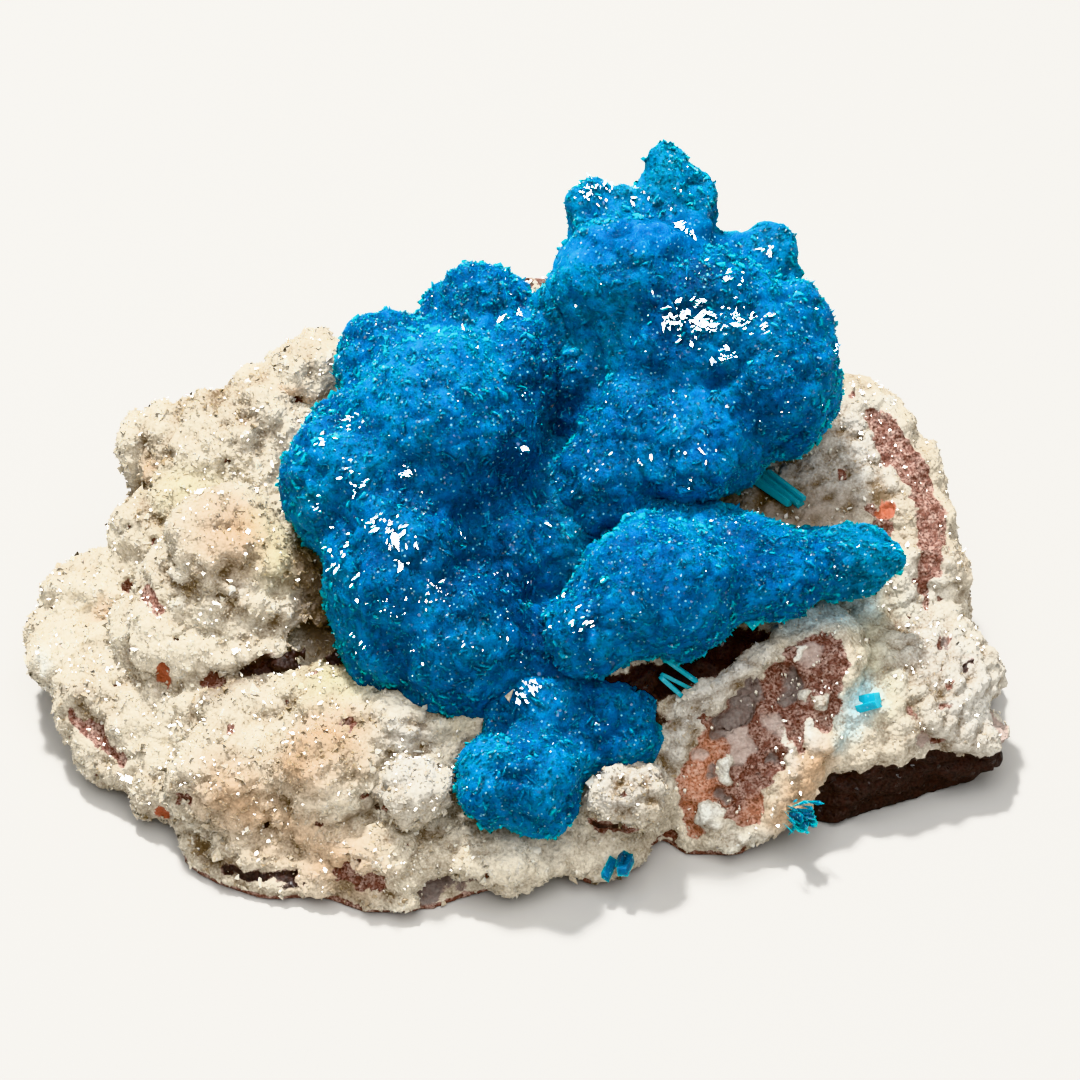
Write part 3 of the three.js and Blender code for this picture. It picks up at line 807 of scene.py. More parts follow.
@dataclass(frozen=True)
class RockFinish:
    """Zeolite crust over oxidised basalt, both left as they grew and broke.

    The crust is a sugary cream skin with peach and greenish stains. Where it is gone, the rock is
    dull reddish brown with pale dust and coppery stretches, and the walls of its gas holes are grey.
    Near-black patches paint the shadow in gaps, crevices and under overhangs, and the crust's
    hollows and recesses are painted darker as shade.

    Args:
        cream: the crust's colour on its knobs.
        hollow: its colour in the hollows between knobs, where shade is painted, and on crust that is
            darker at random.
        basalt: the oxidised rock.
        dust: the pale grains on it.
        copper: its brightest stretches.
        fine_mm: from one small stain to the next.
        broad_mm: from one large stain to the next.
        sugar_mm: width of a grain of crust or rock. Real ones start at 0.1 mm, too fine to show.
        glass: how the grains shine. They are drawn about twice as wide as real ones, to show.
    """

    cream: str = "#d6ccb8"
    hollow: str = "#6c5a44"
    basalt: str = "#6e483c"
    dust: str = "#bfa698"
    copper: str = "#b87a5a"
    fine_mm: float = 0.7
    broad_mm: float = 6.0
    sugar_mm: float = 0.2
    glass: Glass = Glass(ior=1.5, facet_mm=0.3, flashing=0.05, tilt=1.0, grain_mm=0.4)

    def rock(
        self,
        tree: bpy.types.NodeTree,
        ground: dict["Ground", bpy.types.NodeSocket],
        fine: bpy.types.NodeSocket,
        sugar: bpy.types.NodeSocket,
    ) -> bpy.types.NodeSocket:
        """The broken rock, with dust, dark pits, the walls of its gas holes and painted shadow.

        Args:
            tree: the material's node tree.
            ground: how strongly each kind of ground shows.
            fine: small stains, about 0.5.
            sugar: single grains, about 0.5.

        Returns:
            The colour.
        """
        speck = add(tree, "Math", MULTIPLY_ADD, {0: sugar, 1: 0.5, 2: fine})
        speck = add(tree, "MapRange", {}, {0: speck, 1: 0.7, 2: 1.05})
        coppery = add(tree, "MapRange", {}, {0: fine, 1: 0.3, 2: 0.6, 3: 0.35, 4: 1.0})
        coppery = add(tree, "Math", MULTIPLY, {0: coppery, 1: ground[Ground.COPPER]})
        ends = {0: coppery, 6: linear(self.basalt), 7: linear(self.copper)}
        rock = add(tree, "Mix", COLOURS, ends, 2)
        rock = add(tree, "Mix", COLOURS, {0: speck, 6: rock, 7: linear(self.dust)}, 2)
        pit = add(tree, "MapRange", {}, {0: sugar, 1: 0.32, 2: 0.5, 3: 0.6, 4: 0.0})
        rock = add(tree, "Mix", COLOURS, {0: pit, 6: rock, 7: linear(Ground.DARK.colour)}, 2)
        for kind in WALLS:
            least = 0.8 if kind is Ground.DARK else 0.55
            worn = add(tree, "MapRange", {}, {0: fine, 1: 0.3, 2: 0.7, 3: least, 4: 1.0})
            grain = add(tree, "Mix", COLOURS, {0: worn, 6: rock, 7: linear(kind.colour)}, 2)
            share = add(tree, "MapRange", {}, {0: ground[kind], 1: 0.35, 2: 0.6})
            rock = add(tree, "Mix", COLOURS, {0: share, 6: rock, 7: grain}, 2)
        return rock

    def broken(
        self,
        tree: bpy.types.NodeTree,
        ground: dict["Ground", bpy.types.NodeSocket],
        fine: bpy.types.NodeSocket,
    ) -> bpy.types.NodeSocket:
        """Where the crust is gone, up to a ragged edge.

        Args:
            tree: the material's node tree.
            ground: how strongly each kind of ground shows.
            fine: small stains, about 0.5, which make the edge ragged.

        Returns:
            0 on the crust and 1 on broken rock.
        """
        bare = ground[Ground.BARE]
        for kind in WALLS:
            bare = add(tree, "Math", MAXIMUM, {0: bare, 1: ground[kind]})
        bare = add(tree, "Math", SUBTRACT, {0: bare, 1: ground[Ground.WHITE]})
        edge = add(tree, "Math", MULTIPLY_ADD, {0: fine, 1: 1.0, 2: bare})
        return add(tree, "MapRange", {}, {0: edge, 1: 0.96, 2: 1.06})

    def material(self) -> bpy.types.Material:
        """Build the material.

        Returns:
            The material.
        """
        material = bpy.data.materials.new("zeolite_crust_on_basalt")
        material.use_nodes = True
        tree = material.node_tree
        shader = tree.nodes["Principled BSDF"]
        place = add(tree, "TexCoord", {}, {}, "Object")
        ground = {
            kind: add(tree, "Attribute", {"attribute_name": kind.name}, {}, "Fac") for kind in Ground
        }
        hollow = add(tree, "Attribute", {"attribute_name": "hollow"}, {}, "Fac")
        gloss = add(tree, "Attribute", {"attribute_name": "gloss"}, {}, "Fac")
        self.glass.polish(tree, place, gloss, (0.65, 0.2), 0.3)
        inputs = {"Vector": place, "Scale": per_metre(self.fine_mm), "Detail": 5.0}
        inputs["Roughness"] = 0.75
        fine = add(tree, "TexNoise", {}, inputs)
        inputs = {"Vector": place, "Scale": per_metre(self.broad_mm), "Detail": 4.0}
        broad = add(tree, "TexNoise", {}, inputs)
        sugar = add(tree, "TexNoise", {}, {"Vector": place, "Scale": per_metre(self.sugar_mm)})
        light = add(tree, "Math", MULTIPLY, {0: fine, 1: 0.6})
        # the hollows between knobs are painted darker, as shade
        for part, weight in ((hollow, -0.8), (broad, 0.9), (sugar, 0.8)):
            light = add(tree, "Math", MULTIPLY_ADD, {0: part, 1: weight, 2: light})
        light = add(tree, "MapRange", {}, {0: light, 1: 0.5, 2: 1.25})
        cream = crust_colour(tree, light, self.hollow, self.cream)
        rock = self.rock(tree, ground, fine, sugar)
        broken = self.broken(tree, ground, fine)
        colour = add(tree, "Mix", COLOURS, {0: broken, 6: cream, 7: rock}, 2)
        tree.links.new(colour, shader.inputs["Base Color"])
        return material


@dataclass(frozen=True)
class DruseFinish:
    """Small zeolite crystals, nearly colourless, which make the crust look like sugar.

    Their faces are glassy and bright, and in the hollows between them they are painted honey brown, as
    shade.

    Args:
        pale: the colour of crystals in the light.
        honey_and_crease_shade: the colour of darker crystals, and of the painted shade in the hollows.
        broad_mm: from one large stain to the next.
        sugar_mm: width of a facet. Real ones start at 0.05 mm, too fine to show.
        glow_mm: how far light travels in them.
        glass: how their faces shine.
    """

    pale: str = "#e2dac8"
    honey_and_crease_shade: str = "#8e7a5c"
    broad_mm: float = 6.0
    sugar_mm: float = 0.2
    glow_mm: float = 0.5
    glass: Glass = Glass(ior=1.5, facet_mm=0.22, flashing=0.25, tilt=1.0, grain_mm=0.2)

    def material(self) -> bpy.types.Material:
        """Build the material.

        Returns:
            The material.
        """
        material = bpy.data.materials.new("zeolite_crystal_druse")
        material.use_nodes = True
        tree = material.node_tree
        shader = tree.nodes["Principled BSDF"]
        place = add(tree, "TexCoord", {}, {}, "Object")
        shade, hollow, gloss = (
            add(tree, "Attribute", {"attribute_name": name}, {}, "Fac")
            for name in ("shade", "hollow", "gloss")
        )
        self.glass.polish(tree, place, gloss, (0.4, 0.12), 0.35)
        inputs = {"Vector": place, "Scale": per_metre(self.broad_mm), "Detail": 4.0}
        light = add(tree, "TexNoise", {}, inputs)
        sugar = add(tree, "TexNoise", {}, {"Vector": place, "Scale": per_metre(self.sugar_mm)})
        # the hollows are painted darker, as shade; gloss makes the flashing faces and large clear
        # crystals paler, partly a painted highlight
        for part, weight in ((hollow, -0.8), (shade, 0.35), (sugar, 0.8), (gloss, 0.8)):
            light = add(tree, "Math", MULTIPLY_ADD, {0: part, 1: weight, 2: light})
        light = add(tree, "MapRange", {}, {0: light, 1: 0.4, 2: 1.4})
        colour = crust_colour(tree, light, self.honey_and_crease_shade, self.pale)
        tree.links.new(colour, shader.inputs["Base Color"])
        shader.inputs["Subsurface Weight"].default_value = 0.3
        shader.inputs["Subsurface Radius"].default_value = (1.0, 0.8, 0.5)
        shader.inputs["Subsurface Scale"].default_value = self.glow_mm * MM
        return material


# ---- Rock ---------------------------------------------------------------------------------


class Ground(Enum):
    """What shows at a place on the rock, other than plain cream crust, with painted shadow and shade."""

    BARE = (1, "", 0.0, False, True)
    COPPER = (2, "", 0.0, False, False)
    # dark rock, and painted shadow in gaps, crevices and under overhangs
    DARK = (3, "#120a08", 0.0, False, True)
    GREY = (4, "#77706b", -1.0, False, True)
    ASH = (5, "#b8a89e", -0.5, False, True)
    OXIDE = (6, "#a4583c", 0.0, False, True)
    WHITE = (7, "#e0e1da", 0.4, True, False)
    PEACH = (8, "#bf9a76", 0.0, True, False)
    GREEN = (9, "#b4ae88", 0.0, True, False)
    SILVER = (10, "#c4c1b9", 0.0, True, False)
    STAIN = (11, "#bfe0e6", 0.0, True, False)
    # painted shade in recesses beside the sprays and in crevices
    DUSK = (12, "#43332a", 0.0, True, False)
    # painted shade in the valley at the upper spray's foot
    SMOKE = (13, "#948475", 0.0, True, False)

    def __init__(self, number: int, colour: str, height: float, stain: bool, bare: bool) -> None:
        """Keep what is known of one kind.

        Args:
            number: a number of its own, which sets it apart from kinds that are alike otherwise.
            colour: its colour, or nothing where the finish has one for it.
            height: how far it stands above other crust or other bare rock, in millimetres.
            stain: whether it only tints the crust, as a stain or as painted shade.
            bare: whether the crust is gone there.
        """
        self.colour = colour
        self.height = height
        self.stain = stain
        self.bare = bare


# the first of these is dark rock and painted shadow
WALLS = (Ground.DARK, Ground.GREY, Ground.ASH, Ground.OXIDE)  # what lies in the broken rock


@dataclass(frozen=True)
class Patch:
    """A stretch of ground that follows a line.

    Args:
        ground: what shows there.
        line: the points that it follows; one point makes a round patch.
        widths: half its width at each point.
        fade: how far its edge fades, in millimetres.
    """

    ground: Ground
    line: list[Triple]
    widths: list[float]
    fade: float = 0.45

    def strength(self, points: np.ndarray) -> np.ndarray:
        """How strongly the ground shows.

        Args:
            points: where to ask.

        Returns:
            For each point from 0 outside to 1 inside; 0.5 is the patch's edge.
        """
        ends = list(zip(self.line, self.widths))
        inside = np.full(len(points), -np.inf)
        for (a, wide_a), (b, wide_b) in zip(ends, ends[1:] or ends):
            start, along = np.array(a), np.array(b) - np.array(a)
            share = np.clip((points - start) @ along / max(along @ along, 1e-9), 0, 1)
            away = np.linalg.norm(points - start - share[:, None] * along, axis=1)
            inside = np.maximum(inside, wide_a + share * (wide_b - wide_a) - away)
        return np.clip(0.5 + 0.5 * inside / self.fade, 0, 1)


BREAK_MIDDLE = (18.6, -12.54, 8.03)  # the middle of the knob's broken face
BREAK_UP = (0.669, 0.743)  # how far a millimetre up that slanted face runs back and up


def on_break(*places: tuple[float, float]) -> list[Triple]:
    """Points on the knob's broken face.

    Args:
        places: how far each lies to the right of the face's middle and above it.

    Returns:
        The points.
    """
    x, y, z = BREAK_MIDDLE
    return [(x + right, y + BREAK_UP[0] * up, z + BREAK_UP[1] * up) for right, up in places]


BREAK_PATCHES = [
    Patch(
        Ground.BARE,
        on_break((-5.8, -8.1), (-5, -6.5), (-4, -4.6), (-3.1, -2.7), (-1.5, -0.8), (0.8, 1.3)),
        [1.2, 1.5, 2.1, 2.7, 3.2, 3.4],
    ),
    Patch(
        Ground.BARE,
        on_break((0.8, 1.3), (3.5, 3.5), (4.6, 6.1), (5.2, 8.2)),
        [3.4, 3.4, 2.7, 1.5],
    ),
    Patch(Ground.BARE, on_break((-1.2, -4.2)), [2.0]),
    Patch(
        Ground.COPPER,
        on_break((-6, -8.4), (-4.6, -5.6), (-4.2, -3), (-3.4, 0)),
        [1.5, 1.8, 1.6, 1.2],
        0.8,
    ),
    Patch(Ground.COPPER, on_break((-0.4, -5.4), (0.6, -4.4)), [0.7, 0.6], 0.7),
    Patch(Ground.GREY, on_break((0.5, 5), (-0.4, 3.5), (-1.7, 2.3), (-2.8, 1.2)), [0.6, 1, 0.9, 0.6]),
    Patch(Ground.GREY, on_break((2.5, 4.8), (2.5, 3.9)), [1.0, 0.9]),
    Patch(Ground.ASH, on_break((-1.5, 1), (-0.8, 0.1), (-1.4, -1)), [0.8, 1.0, 0.6]),
    Patch(Ground.ASH, on_break((-4.2, -0.6)), [0.6]),
    Patch(Ground.ASH, on_break((1.2, 1.9), (1.9, 1)), [0.6, 0.4], 0.8),
    Patch(Ground.ASH, on_break((4.4, 7.6), (3.9, 6.6)), [0.9, 0.5], 0.9),
    Patch(Ground.GREY, on_break((1.5, -0.9)), [0.55]),
    Patch(Ground.GREY, on_break((-3.4, -2.1)), [0.5]),
    Patch(Ground.GREY, on_break((-2.5, -3.8)), [0.45]),
    Patch(Ground.GREY, on_break((-1.7, -6.7)), [0.7]),
    Patch(Ground.WHITE, on_break((3.2, 8.7), (3.8, 7.8), (3.1, 6.5)), [0.5, 0.5, 0.35]),
    Patch(Ground.WHITE, on_break((3.9, 4), (4.5, 4), (5.2, 3.5)), [0.6, 0.35, 0.75]),
    Patch(Ground.WHITE, on_break((4.1, 2.2), (4.4, 0.5)), [0.3, 0.8]),
    Patch(Ground.WHITE, on_break((1.9, 1.4), (2.7, -0.4), (3.2, -1.8)), [0.3, 0.4, 0.3]),
    Patch(Ground.WHITE, on_break((-2.2, -1.6), (-2.3, -2.4)), [0.75, 0.7]),
    Patch(Ground.WHITE, on_break((-3.8, -5.5), (-2.6, -5)), [1.05, 0.6]),
    Patch(Ground.WHITE, on_break((-1.6, -6.7)), [0.4]),
    Patch(Ground.WHITE, on_break((0.4, -7.3), (-1.2, -8.1), (-3, -8)), [0.9, 0.8, 0.6], 0.8),
    Patch(Ground.PEACH, on_break((5, -1.6), (3.8, -3.8), (2, -5.6)), [1.8, 1.5, 1.2], 1.2),
    Patch(
        Ground.SILVER,
        on_break((-6.8, -1.6), (-6.4, 0.6), (-5, 2.6), (-3.3, 4.5), (-1.5, 6), (0.2, 7.4)),
        [1.2, 1.5, 1.5, 1.5, 1.4, 1.2],
        0.9,
    ),
]

SLAB_PATCHES = [
    Patch(
        Ground.BARE,
        [(29, 14, 19.3), (29.9, 12.4, 18.4), (31.2, 11, 17.4), (32.9, 9.2, 15.8), (33.4, 6.7, 15)],
        [0.7, 1.4, 1.5, 1.1, 1.45],
    ),
    Patch(
        Ground.BARE,
        [(33.4, 6.7, 15), (33.4, 4.8, 14.2), (33.1, 2.9, 13.6), (32.6, 1.6, 12.2), (32.6, 0.8, 10.7)],
        [1.45, 1.4, 1.15, 0.7, 0.45],
    ),
    Patch(Ground.BARE, [(28.2, 6.5, 15.9), (29.4, 5.7, 15.4), (30.4, 4.4, 14.2)], [0.3, 0.5, 0.4]),
    Patch(Ground.OXIDE, [(29.6, 6.7, 15.8), (29.5, 6, 15.6)], [0.7, 0.6]),
    Patch(Ground.BARE, [(31.8, 1.5, 12)], [0.5]),
    Patch(Ground.GREY, [(34, -2.2, 10), (33.9, -3.4, 10)], [0.45, 0.4]),
    Patch(Ground.DARK, [(32.2, -0.8, 10.2), (32, -2.2, 10.2)], [0.3, 0.25]),
    Patch(Ground.DARK, [(35.6, -4.4, 9.4), (35.6, -5.6, 9)], [0.25, 0.3]),
    Patch(Ground.DARK, [(27.5, -4, 10.8), (27.3, -4.9, 10.6)], [0.35, 0.25]),
    Patch(Ground.BARE, [(30.8, -9.3, 9), (31, -10, 8.4)], [0.3, 0.3]),
    Patch(Ground.BARE, [(33.4, -8.8, 8.6), (34, -8.4, 8.4)], [0.35, 0.25]),
    Patch(Ground.ASH, [(38.4, -6.2, 5), (38.6, -8.4, 4.6)], [1.1, 0.9], 0.9),
    Patch(Ground.ASH, [(32, -10.4, 6.4)], [0.7], 0.6),
    Patch(Ground.WHITE, [(31.3, 0.6, 11)], [0.5]),
    Patch(Ground.WHITE, [(30.8, 0.2, 10.5)], [0.35]),
    Patch(Ground.WHITE, [(33.5, -5.2, 9.8)], [0.4]),
    Patch(Ground.WHITE, [(28.6, -5.9, 10.3)], [0.35]),
    Patch(Ground.WHITE, [(30.2, 15.2, 19.2)], [0.6]),
    Patch(Ground.SILVER, [(22.8, 8.7, 16.6), (28, 9.6, 17), (27, 12.4, 18.2)], [4.5, 3, 3], 2.5),
    Patch(Ground.SILVER, [(32.4, 0.4, 12), (33, -4.6, 10), (36, -7.6, 7.4)], [2.6, 5, 5], 3),
    # painted shade in that valley
    Patch(Ground.SMOKE, [(20, 6, 16), (23, 5.2, 16), (26, 6, 16)], [2.4, 3, 1.6], 1.8),
    Patch(Ground.GREEN, [(29, -0.8, 10.6), (28, -4.5, 10.4), (29, -7.6, 9.8)], [1.8, 2.4, 1.8], 2),
    Patch(
        Ground.STAIN,
        [(27.4, -8.4, 9.8), (26.6, -9.4, 9.2), (25.9, -10.4, 8.2), (25, -11.4, 7.2)],
        [1.3, 1.4, 1.0, 0.7],
        0.7,
    ),
    Patch(Ground.STAIN, [(21.6, -4.3, 13.6), (24.8, -3.4, 13.4), (27.2, 0, 11.2)], [1.2, 1.6, 1.3], 1),
    # painted shadow under the slab's overhanging front
    Patch(
        Ground.DARK,
        [(24.4, -13.4, 2), (28.6, -12.4, 2.4), (33, -11, 2.2), (38, -9.6, 2)],
        [2.6, 3.2, 3, 2.4],
        0.3,
    ),
    # painted shadow in the deep gap under the middle spray, above the knob
    Patch(
        Ground.DARK,
        [(11, -9.4, 12), (14.3, -8.1, 12.6), (17.2, -5.6, 12.6), (19.1, -5.2, 13.1)],
        [1.2, 1.5, 1.3, 0.8],
        0.7,
    ),
    Patch(Ground.DARK, [(5.9, -11.3, 12.8), (8.1, -11.4, 12.9), (10.9, -11.3, 9.5)], [1.5, 1.6, 1], 0.7),
    Patch(Ground.DARK, [(8.1, -11.4, 12.9), (10.2, -10.6, 12.6), (12, -9.6, 12.2)], [1.6, 1.7, 1.4], 0.7),
]

LEFT_PATCHES = [
    # painted shade beside the left spray's lower edge
    Patch(
        Ground.DUSK,
        [(-16.4, -0.4, 17), (-15.4, -2, 15), (-15.2, -2.8, 12.4), (-13.4, -5, 10.8)],
        [1.4, 2.2, 2.6, 2.2],
        1,
    ),
    # painted shadow in the crevice under the boulder
    Patch(
        Ground.DARK,
        [(-21, -7.4, 11), (-18.8, -7.3, 11.6), (-15.8, -6.2, 11), (-13.2, -5.8, 10.8)],
        [0.35, 0.75, 1, 1],
        0.4,
    ),
    # painted shade in crevices
    Patch(Ground.DUSK, [(-23.8, -9.9, 10.3), (-20.4, -7.5, 10.9)], [0.6, 0.9], 1),
    Patch(Ground.DUSK, [(-35.6, -5.3, 6.8), (-34, -6.2, 7.5), (-32.4, -6.6, 7.9)], [0.2, 0.3, 0.2], 0.4),
    Patch(Ground.DUSK, [(-9.6, -18, 8.8), (-11, -17.6, 7), (-12.4, -18.4, 6.4)], [0.4, 0.5, 0.4], 0.5),
    Patch(Ground.BARE, [(-29.3, -1.2, 15), (-28.6, -2.4, 14.5), (-27.4, -3.7, 14)], [0.3, 0.7, 0.4]),
    Patch(Ground.OXIDE, [(-27.2, -7.1, 11.2), (-27.6, -7.2, 9.8), (-26.6, -7.6, 10.1)], [0.5, 0.8, 0.5]),
    Patch(
        Ground.BARE,
        [(-35.2, -7.2, 6.2), (-34, -8.2, 6), (-32.4, -9.2, 5.2), (-30.5, -10.7, 4.6)],
        [0.4, 0.8, 0.8, 0.4],
    ),
    Patch(Ground.OXIDE, [(-27.4, -14.6, 2.7)], [0.75]),
    Patch(Ground.DARK, [(-22.4, -19.6, 1.8), (-19.3, -20.4, 2), (-16, -20.9, 1.8)], [0.5, 0.5, 0.4]),
    Patch(Ground.BARE, [(-13, -21.4, 2.6), (-10.4, -22, 3)], [0.7, 0.8]),
    Patch(Ground.GREY, [(-6.5, -21.9, 1.6), (-2.4, -21.6, 1.6)], [0.9, 0.8]),
    Patch(Ground.DARK, [(-18.8, -17.3, 4.5)], [0.45]),
    Patch(Ground.DARK, [(-10.1, -17.7, 7)], [0.4]),
    Patch(Ground.WHITE, [(-26.2, -2.5, 16.6), (-25.7, -2.7, 16.5)], [0.4, 0.35]),
    Patch(Ground.WHITE, [(-26.5, 0.9, 18)], [0.4]),
    Patch(Ground.WHITE, [(-37, -2.6, 7.4)], [0.6]),
    Patch(Ground.WHITE, [(-21.4, -4, 16.6)], [0.35]),
    Patch(Ground.WHITE, [(-26, -3.8, 15)], [0.35]),
    Patch(Ground.PEACH, [(-21.4, -0.4, 19)], [2.6], 2.2),
    Patch(Ground.PEACH, [(-14, -14.5, 10.6), (-16.4, -17, 10.6)], [2.4, 2.2], 2),
    Patch(Ground.PEACH, [(-21.6, -17, 7.2), (-12.6, -21.3, 3.5)], [2.2, 2], 2),
    Patch(Ground.PEACH, [(-29.4, 11.4, 16.2), (-29.2, 9.8, 14.6)], [0.5, 0.5], 0.6),
    Patch(Ground.PEACH, [(-18.4, 14.2, 21.4), (-15.4, 14.2, 21)], [0.4, 0.4], 0.5),
    Patch(Ground.PEACH, [(-32.6, 1.6, 8.6)], [0.9], 1),
    Patch(Ground.GREEN, [(-14.2, -8.4, 11.3), (-8.8, -7.4, 10.9), (-4.8, -10.5, 11.9)], [2, 2, 1.8], 2),
    Patch(Ground.GREEN, [(-17.6, -1.2, 17), (-25.8, 8, 14)], [1.8, 2.6], 2),
    Patch(Ground.SILVER, [(-7.8, -17.4, 9.6), (-8, -13.9, 10.5)], [2.4, 2], 1.5),
    Patch(Ground.SILVER, [(8, -18, 9.6), (9.4, -16.6, 9.4)], [2.6, 2.4], 1.2),
    Patch(Ground.BARE, [(5.2, -19, 4.8), (6.8, -19.2, 5.2), (8.8, -19.4, 5.4)], [0.9, 1.3, 0.9]),
    Patch(Ground.DARK, [(6.2, -19.2, 5), (8, -19.4, 5.2)], [0.8, 0.7], 0.6),
]


@dataclass
class MatrixRock:
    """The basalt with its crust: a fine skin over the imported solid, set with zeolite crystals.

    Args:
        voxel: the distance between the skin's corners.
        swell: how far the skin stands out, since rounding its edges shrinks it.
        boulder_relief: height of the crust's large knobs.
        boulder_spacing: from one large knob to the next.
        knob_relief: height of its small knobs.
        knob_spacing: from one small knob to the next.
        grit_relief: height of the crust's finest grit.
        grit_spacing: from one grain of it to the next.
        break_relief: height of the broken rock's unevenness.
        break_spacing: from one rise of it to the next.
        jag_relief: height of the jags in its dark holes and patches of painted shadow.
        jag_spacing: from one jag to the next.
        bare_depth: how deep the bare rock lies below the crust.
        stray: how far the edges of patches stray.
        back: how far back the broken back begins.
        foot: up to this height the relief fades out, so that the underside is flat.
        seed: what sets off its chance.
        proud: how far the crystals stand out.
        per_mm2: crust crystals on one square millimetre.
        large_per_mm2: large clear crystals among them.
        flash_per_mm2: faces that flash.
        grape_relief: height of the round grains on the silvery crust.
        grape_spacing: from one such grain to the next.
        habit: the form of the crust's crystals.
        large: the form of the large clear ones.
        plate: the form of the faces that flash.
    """

    voxel: float = 0.37
    swell: float = 0.1
    boulder_relief: float = 1.6
    boulder_spacing: float = 5.6
    knob_relief: float = 0.7
    knob_spacing: float = 1.9
    grit_relief: float = 0.25
    grit_spacing: float = 0.8
    break_relief: float = 0.3
    break_spacing: float = 1.4
    jag_relief: float = 0.9
    jag_spacing: float = 2.6
    bare_depth: float = 0.4
    stray: float = 0.55
    back: float = 18.4
    foot: float = 1.2
    seed: int = 3
    proud: float = 0.16
    per_mm2: float = 6.2
    large_per_mm2: float = 0.06
    flash_per_mm2: float = 1.1
    grape_relief: float = 1.1
    grape_spacing: float = 1.15
    habit: Habit = Habit(0.44, 0.9, 0.42, 0.5, 0.3, 0.4, Ending.TOOTH)
    large: Habit = Habit(0.6, 0.7, 0.9, 0.7, 0.3, 0.4, Ending.CHISEL)
    plate: Habit = Habit(0.2, 0.6, 0.4, 1.0, 0.4, 0.015, Ending.FLAT, 0.3)

    def ground(self, points: np.ndarray, normals: np.ndarray) -> dict[Ground, np.ndarray]:
        """What shows at each place: the patches, the underside, the back and small windows.

        Args:
            points: the skin's corners.
            normals: which way it faces there.

        Returns:
            For each kind of ground its strength at each corner, from 0 to 1.
        """
        ragged = points + self.stray * warped(points, 31, 1.1)
        ground = {kind: np.zeros(len(points)) for kind in Ground}
        for patch in BREAK_PATCHES + SLAB_PATCHES + LEFT_PATCHES:
            reached = np.maximum(ground[patch.ground], patch.strength(ragged))
            ground[patch.ground] = reached
        under = np.clip(self.foot - points[:, 2], 0, 1) * (normals[:, 2] < 0.2)
        behind = np.clip((ragged[:, 1] - self.back) / 1.5, 0, 1) * (perlin(points, 6, 3) > -0.12)
        window = np.clip(12 * (perlin(points + 9, 2.2, 2) - 0.6), 0, 1)
        ground[Ground.BARE] = np.maximum.reduce([ground[Ground.BARE], under, behind, window])
        return ground

    def relief(
        self, points: np.ndarray, ground: dict[Ground, np.ndarray]
    ) -> tuple[np.ndarray, np.ndarray]:
        """The crust's knobs and grains, and the roughness of the rock where it is gone.

        Args:
            points: the skin's corners.
            ground: what shows there.

        Returns:
            For each corner how far it moves outwards, and how deep it lies between knobs, where the
            finishes paint shade.
        """
        warp = warped(points, 31, 1.1)
        lumpy = np.clip(0.4 + (6 - points[:, 0]) / 24, 0.25, 1)
        grape = domes(points + 0.2 * warp, self.grape_spacing)
        grapes = np.clip(0.35 + ground[Ground.SILVER] + ground[Ground.WHITE], 0, 1)
        boulder = domes(points + 1.2 * warp, self.boulder_spacing)
        knob = domes(points + 5 + 0.5 * warp, self.knob_spacing)
        whole = 1 - ground[Ground.SILVER]
        crust = lumpy * (self.boulder_relief * boulder * whole + self.knob_relief * knob)
        grit = self.grit_relief * perlin(points, self.grit_spacing, 3)
        crust += self.swell + grit + self.grape_relief * grapes * grape
        bare = np.maximum.reduce([ground[kind] for kind in Ground if kind.bare])
        rough = self.break_relief * perlin(points * (1, 1, 2), self.break_spacing, 4)
        rough += 0.12 * perlin(points, 0.6, 2)
        jags = perlin(points * (1, 1, 1.6), self.jag_spacing, 4)
        rough += self.jag_relief * ground[Ground.DARK] * jags
        relief = crust * (1 - bare) + rough * bare
        relief += sum(kind.height * ground[kind] for kind in Ground)
        relief -= self.bare_depth * bare * (1 - ground[Ground.WHITE])
        depth = lumpy * (0.8 * boulder + 0.8 * knob) + 1.2 * grapes * grape
        return relief * np.clip(points[:, 2] / self.foot, 0, 1), np.clip(0.28 - depth, 0, 1)

    def skin(self) -> Surface:
        """The fine skin, with the crust's knobs and the ground at each place.

        Returns:
            The skin, flat on its underside.
        """
        solid = Surface.from_mesh(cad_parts["matrix_rock"].data)
        skin = solid.remeshed(self.voxel).relaxed(4)
        normals = skin.normals()
        ground = self.ground(skin.points, normals)
        relief, hollow = self.relief(skin.points, ground)
        skin.points = skin.points + relief[:, None] * normals
        skin.points[:, 2] = np.maximum(skin.points[:, 2], 0)
        skin.values = {kind.name: strength for kind, strength in ground.items()}
        # how deep each corner lies between knobs, which the finishes paint as shade
        skin.values["hollow"] = hollow
        skin.smooth = np.ones(len(skin.faces), bool)
        return skin

    def crystals(
        self, skin: Surface, habit: Habit, per_mm2: float, random: np.random.Generator
    ) -> Surface:
        """Crystals on the crust, which leave bare ground and the underside free.

        Args:
            skin: the rock's skin.
            habit: their form.
            per_mm2: how many there are on one square millimetre.
            random: the source of chance.

        Returns:
            All the crystals, which grow smaller to the right.
        """
        values = skin.values
        bare = np.maximum.reduce([values[kind.name] for kind in Ground if kind.bare])
        weight = (bare < 0.4) * np.clip(skin.points[:, 2] / 0.6, 0, 1)
        feet, normals, corners = scatter(skin, per_mm2, weight, random)
        sizes = np.clip(1 - (feet[:, 0] - 8) / 30, 0.6, 1)
        tips = feet + self.proud * sizes[:, None] * normals
        druse = habit.grow(tips, normals, random, sizes)
        each = len(druse.points) // len(feet)
        for name in ["hollow"] + [kind.name for kind in Ground if kind.stain]:
            druse.values[name] = np.repeat(values[name][corners], each)
        druse.values["lie"] = 0.3 * np.repeat(normals, each, axis=0)  # lit by their own faces
        return druse

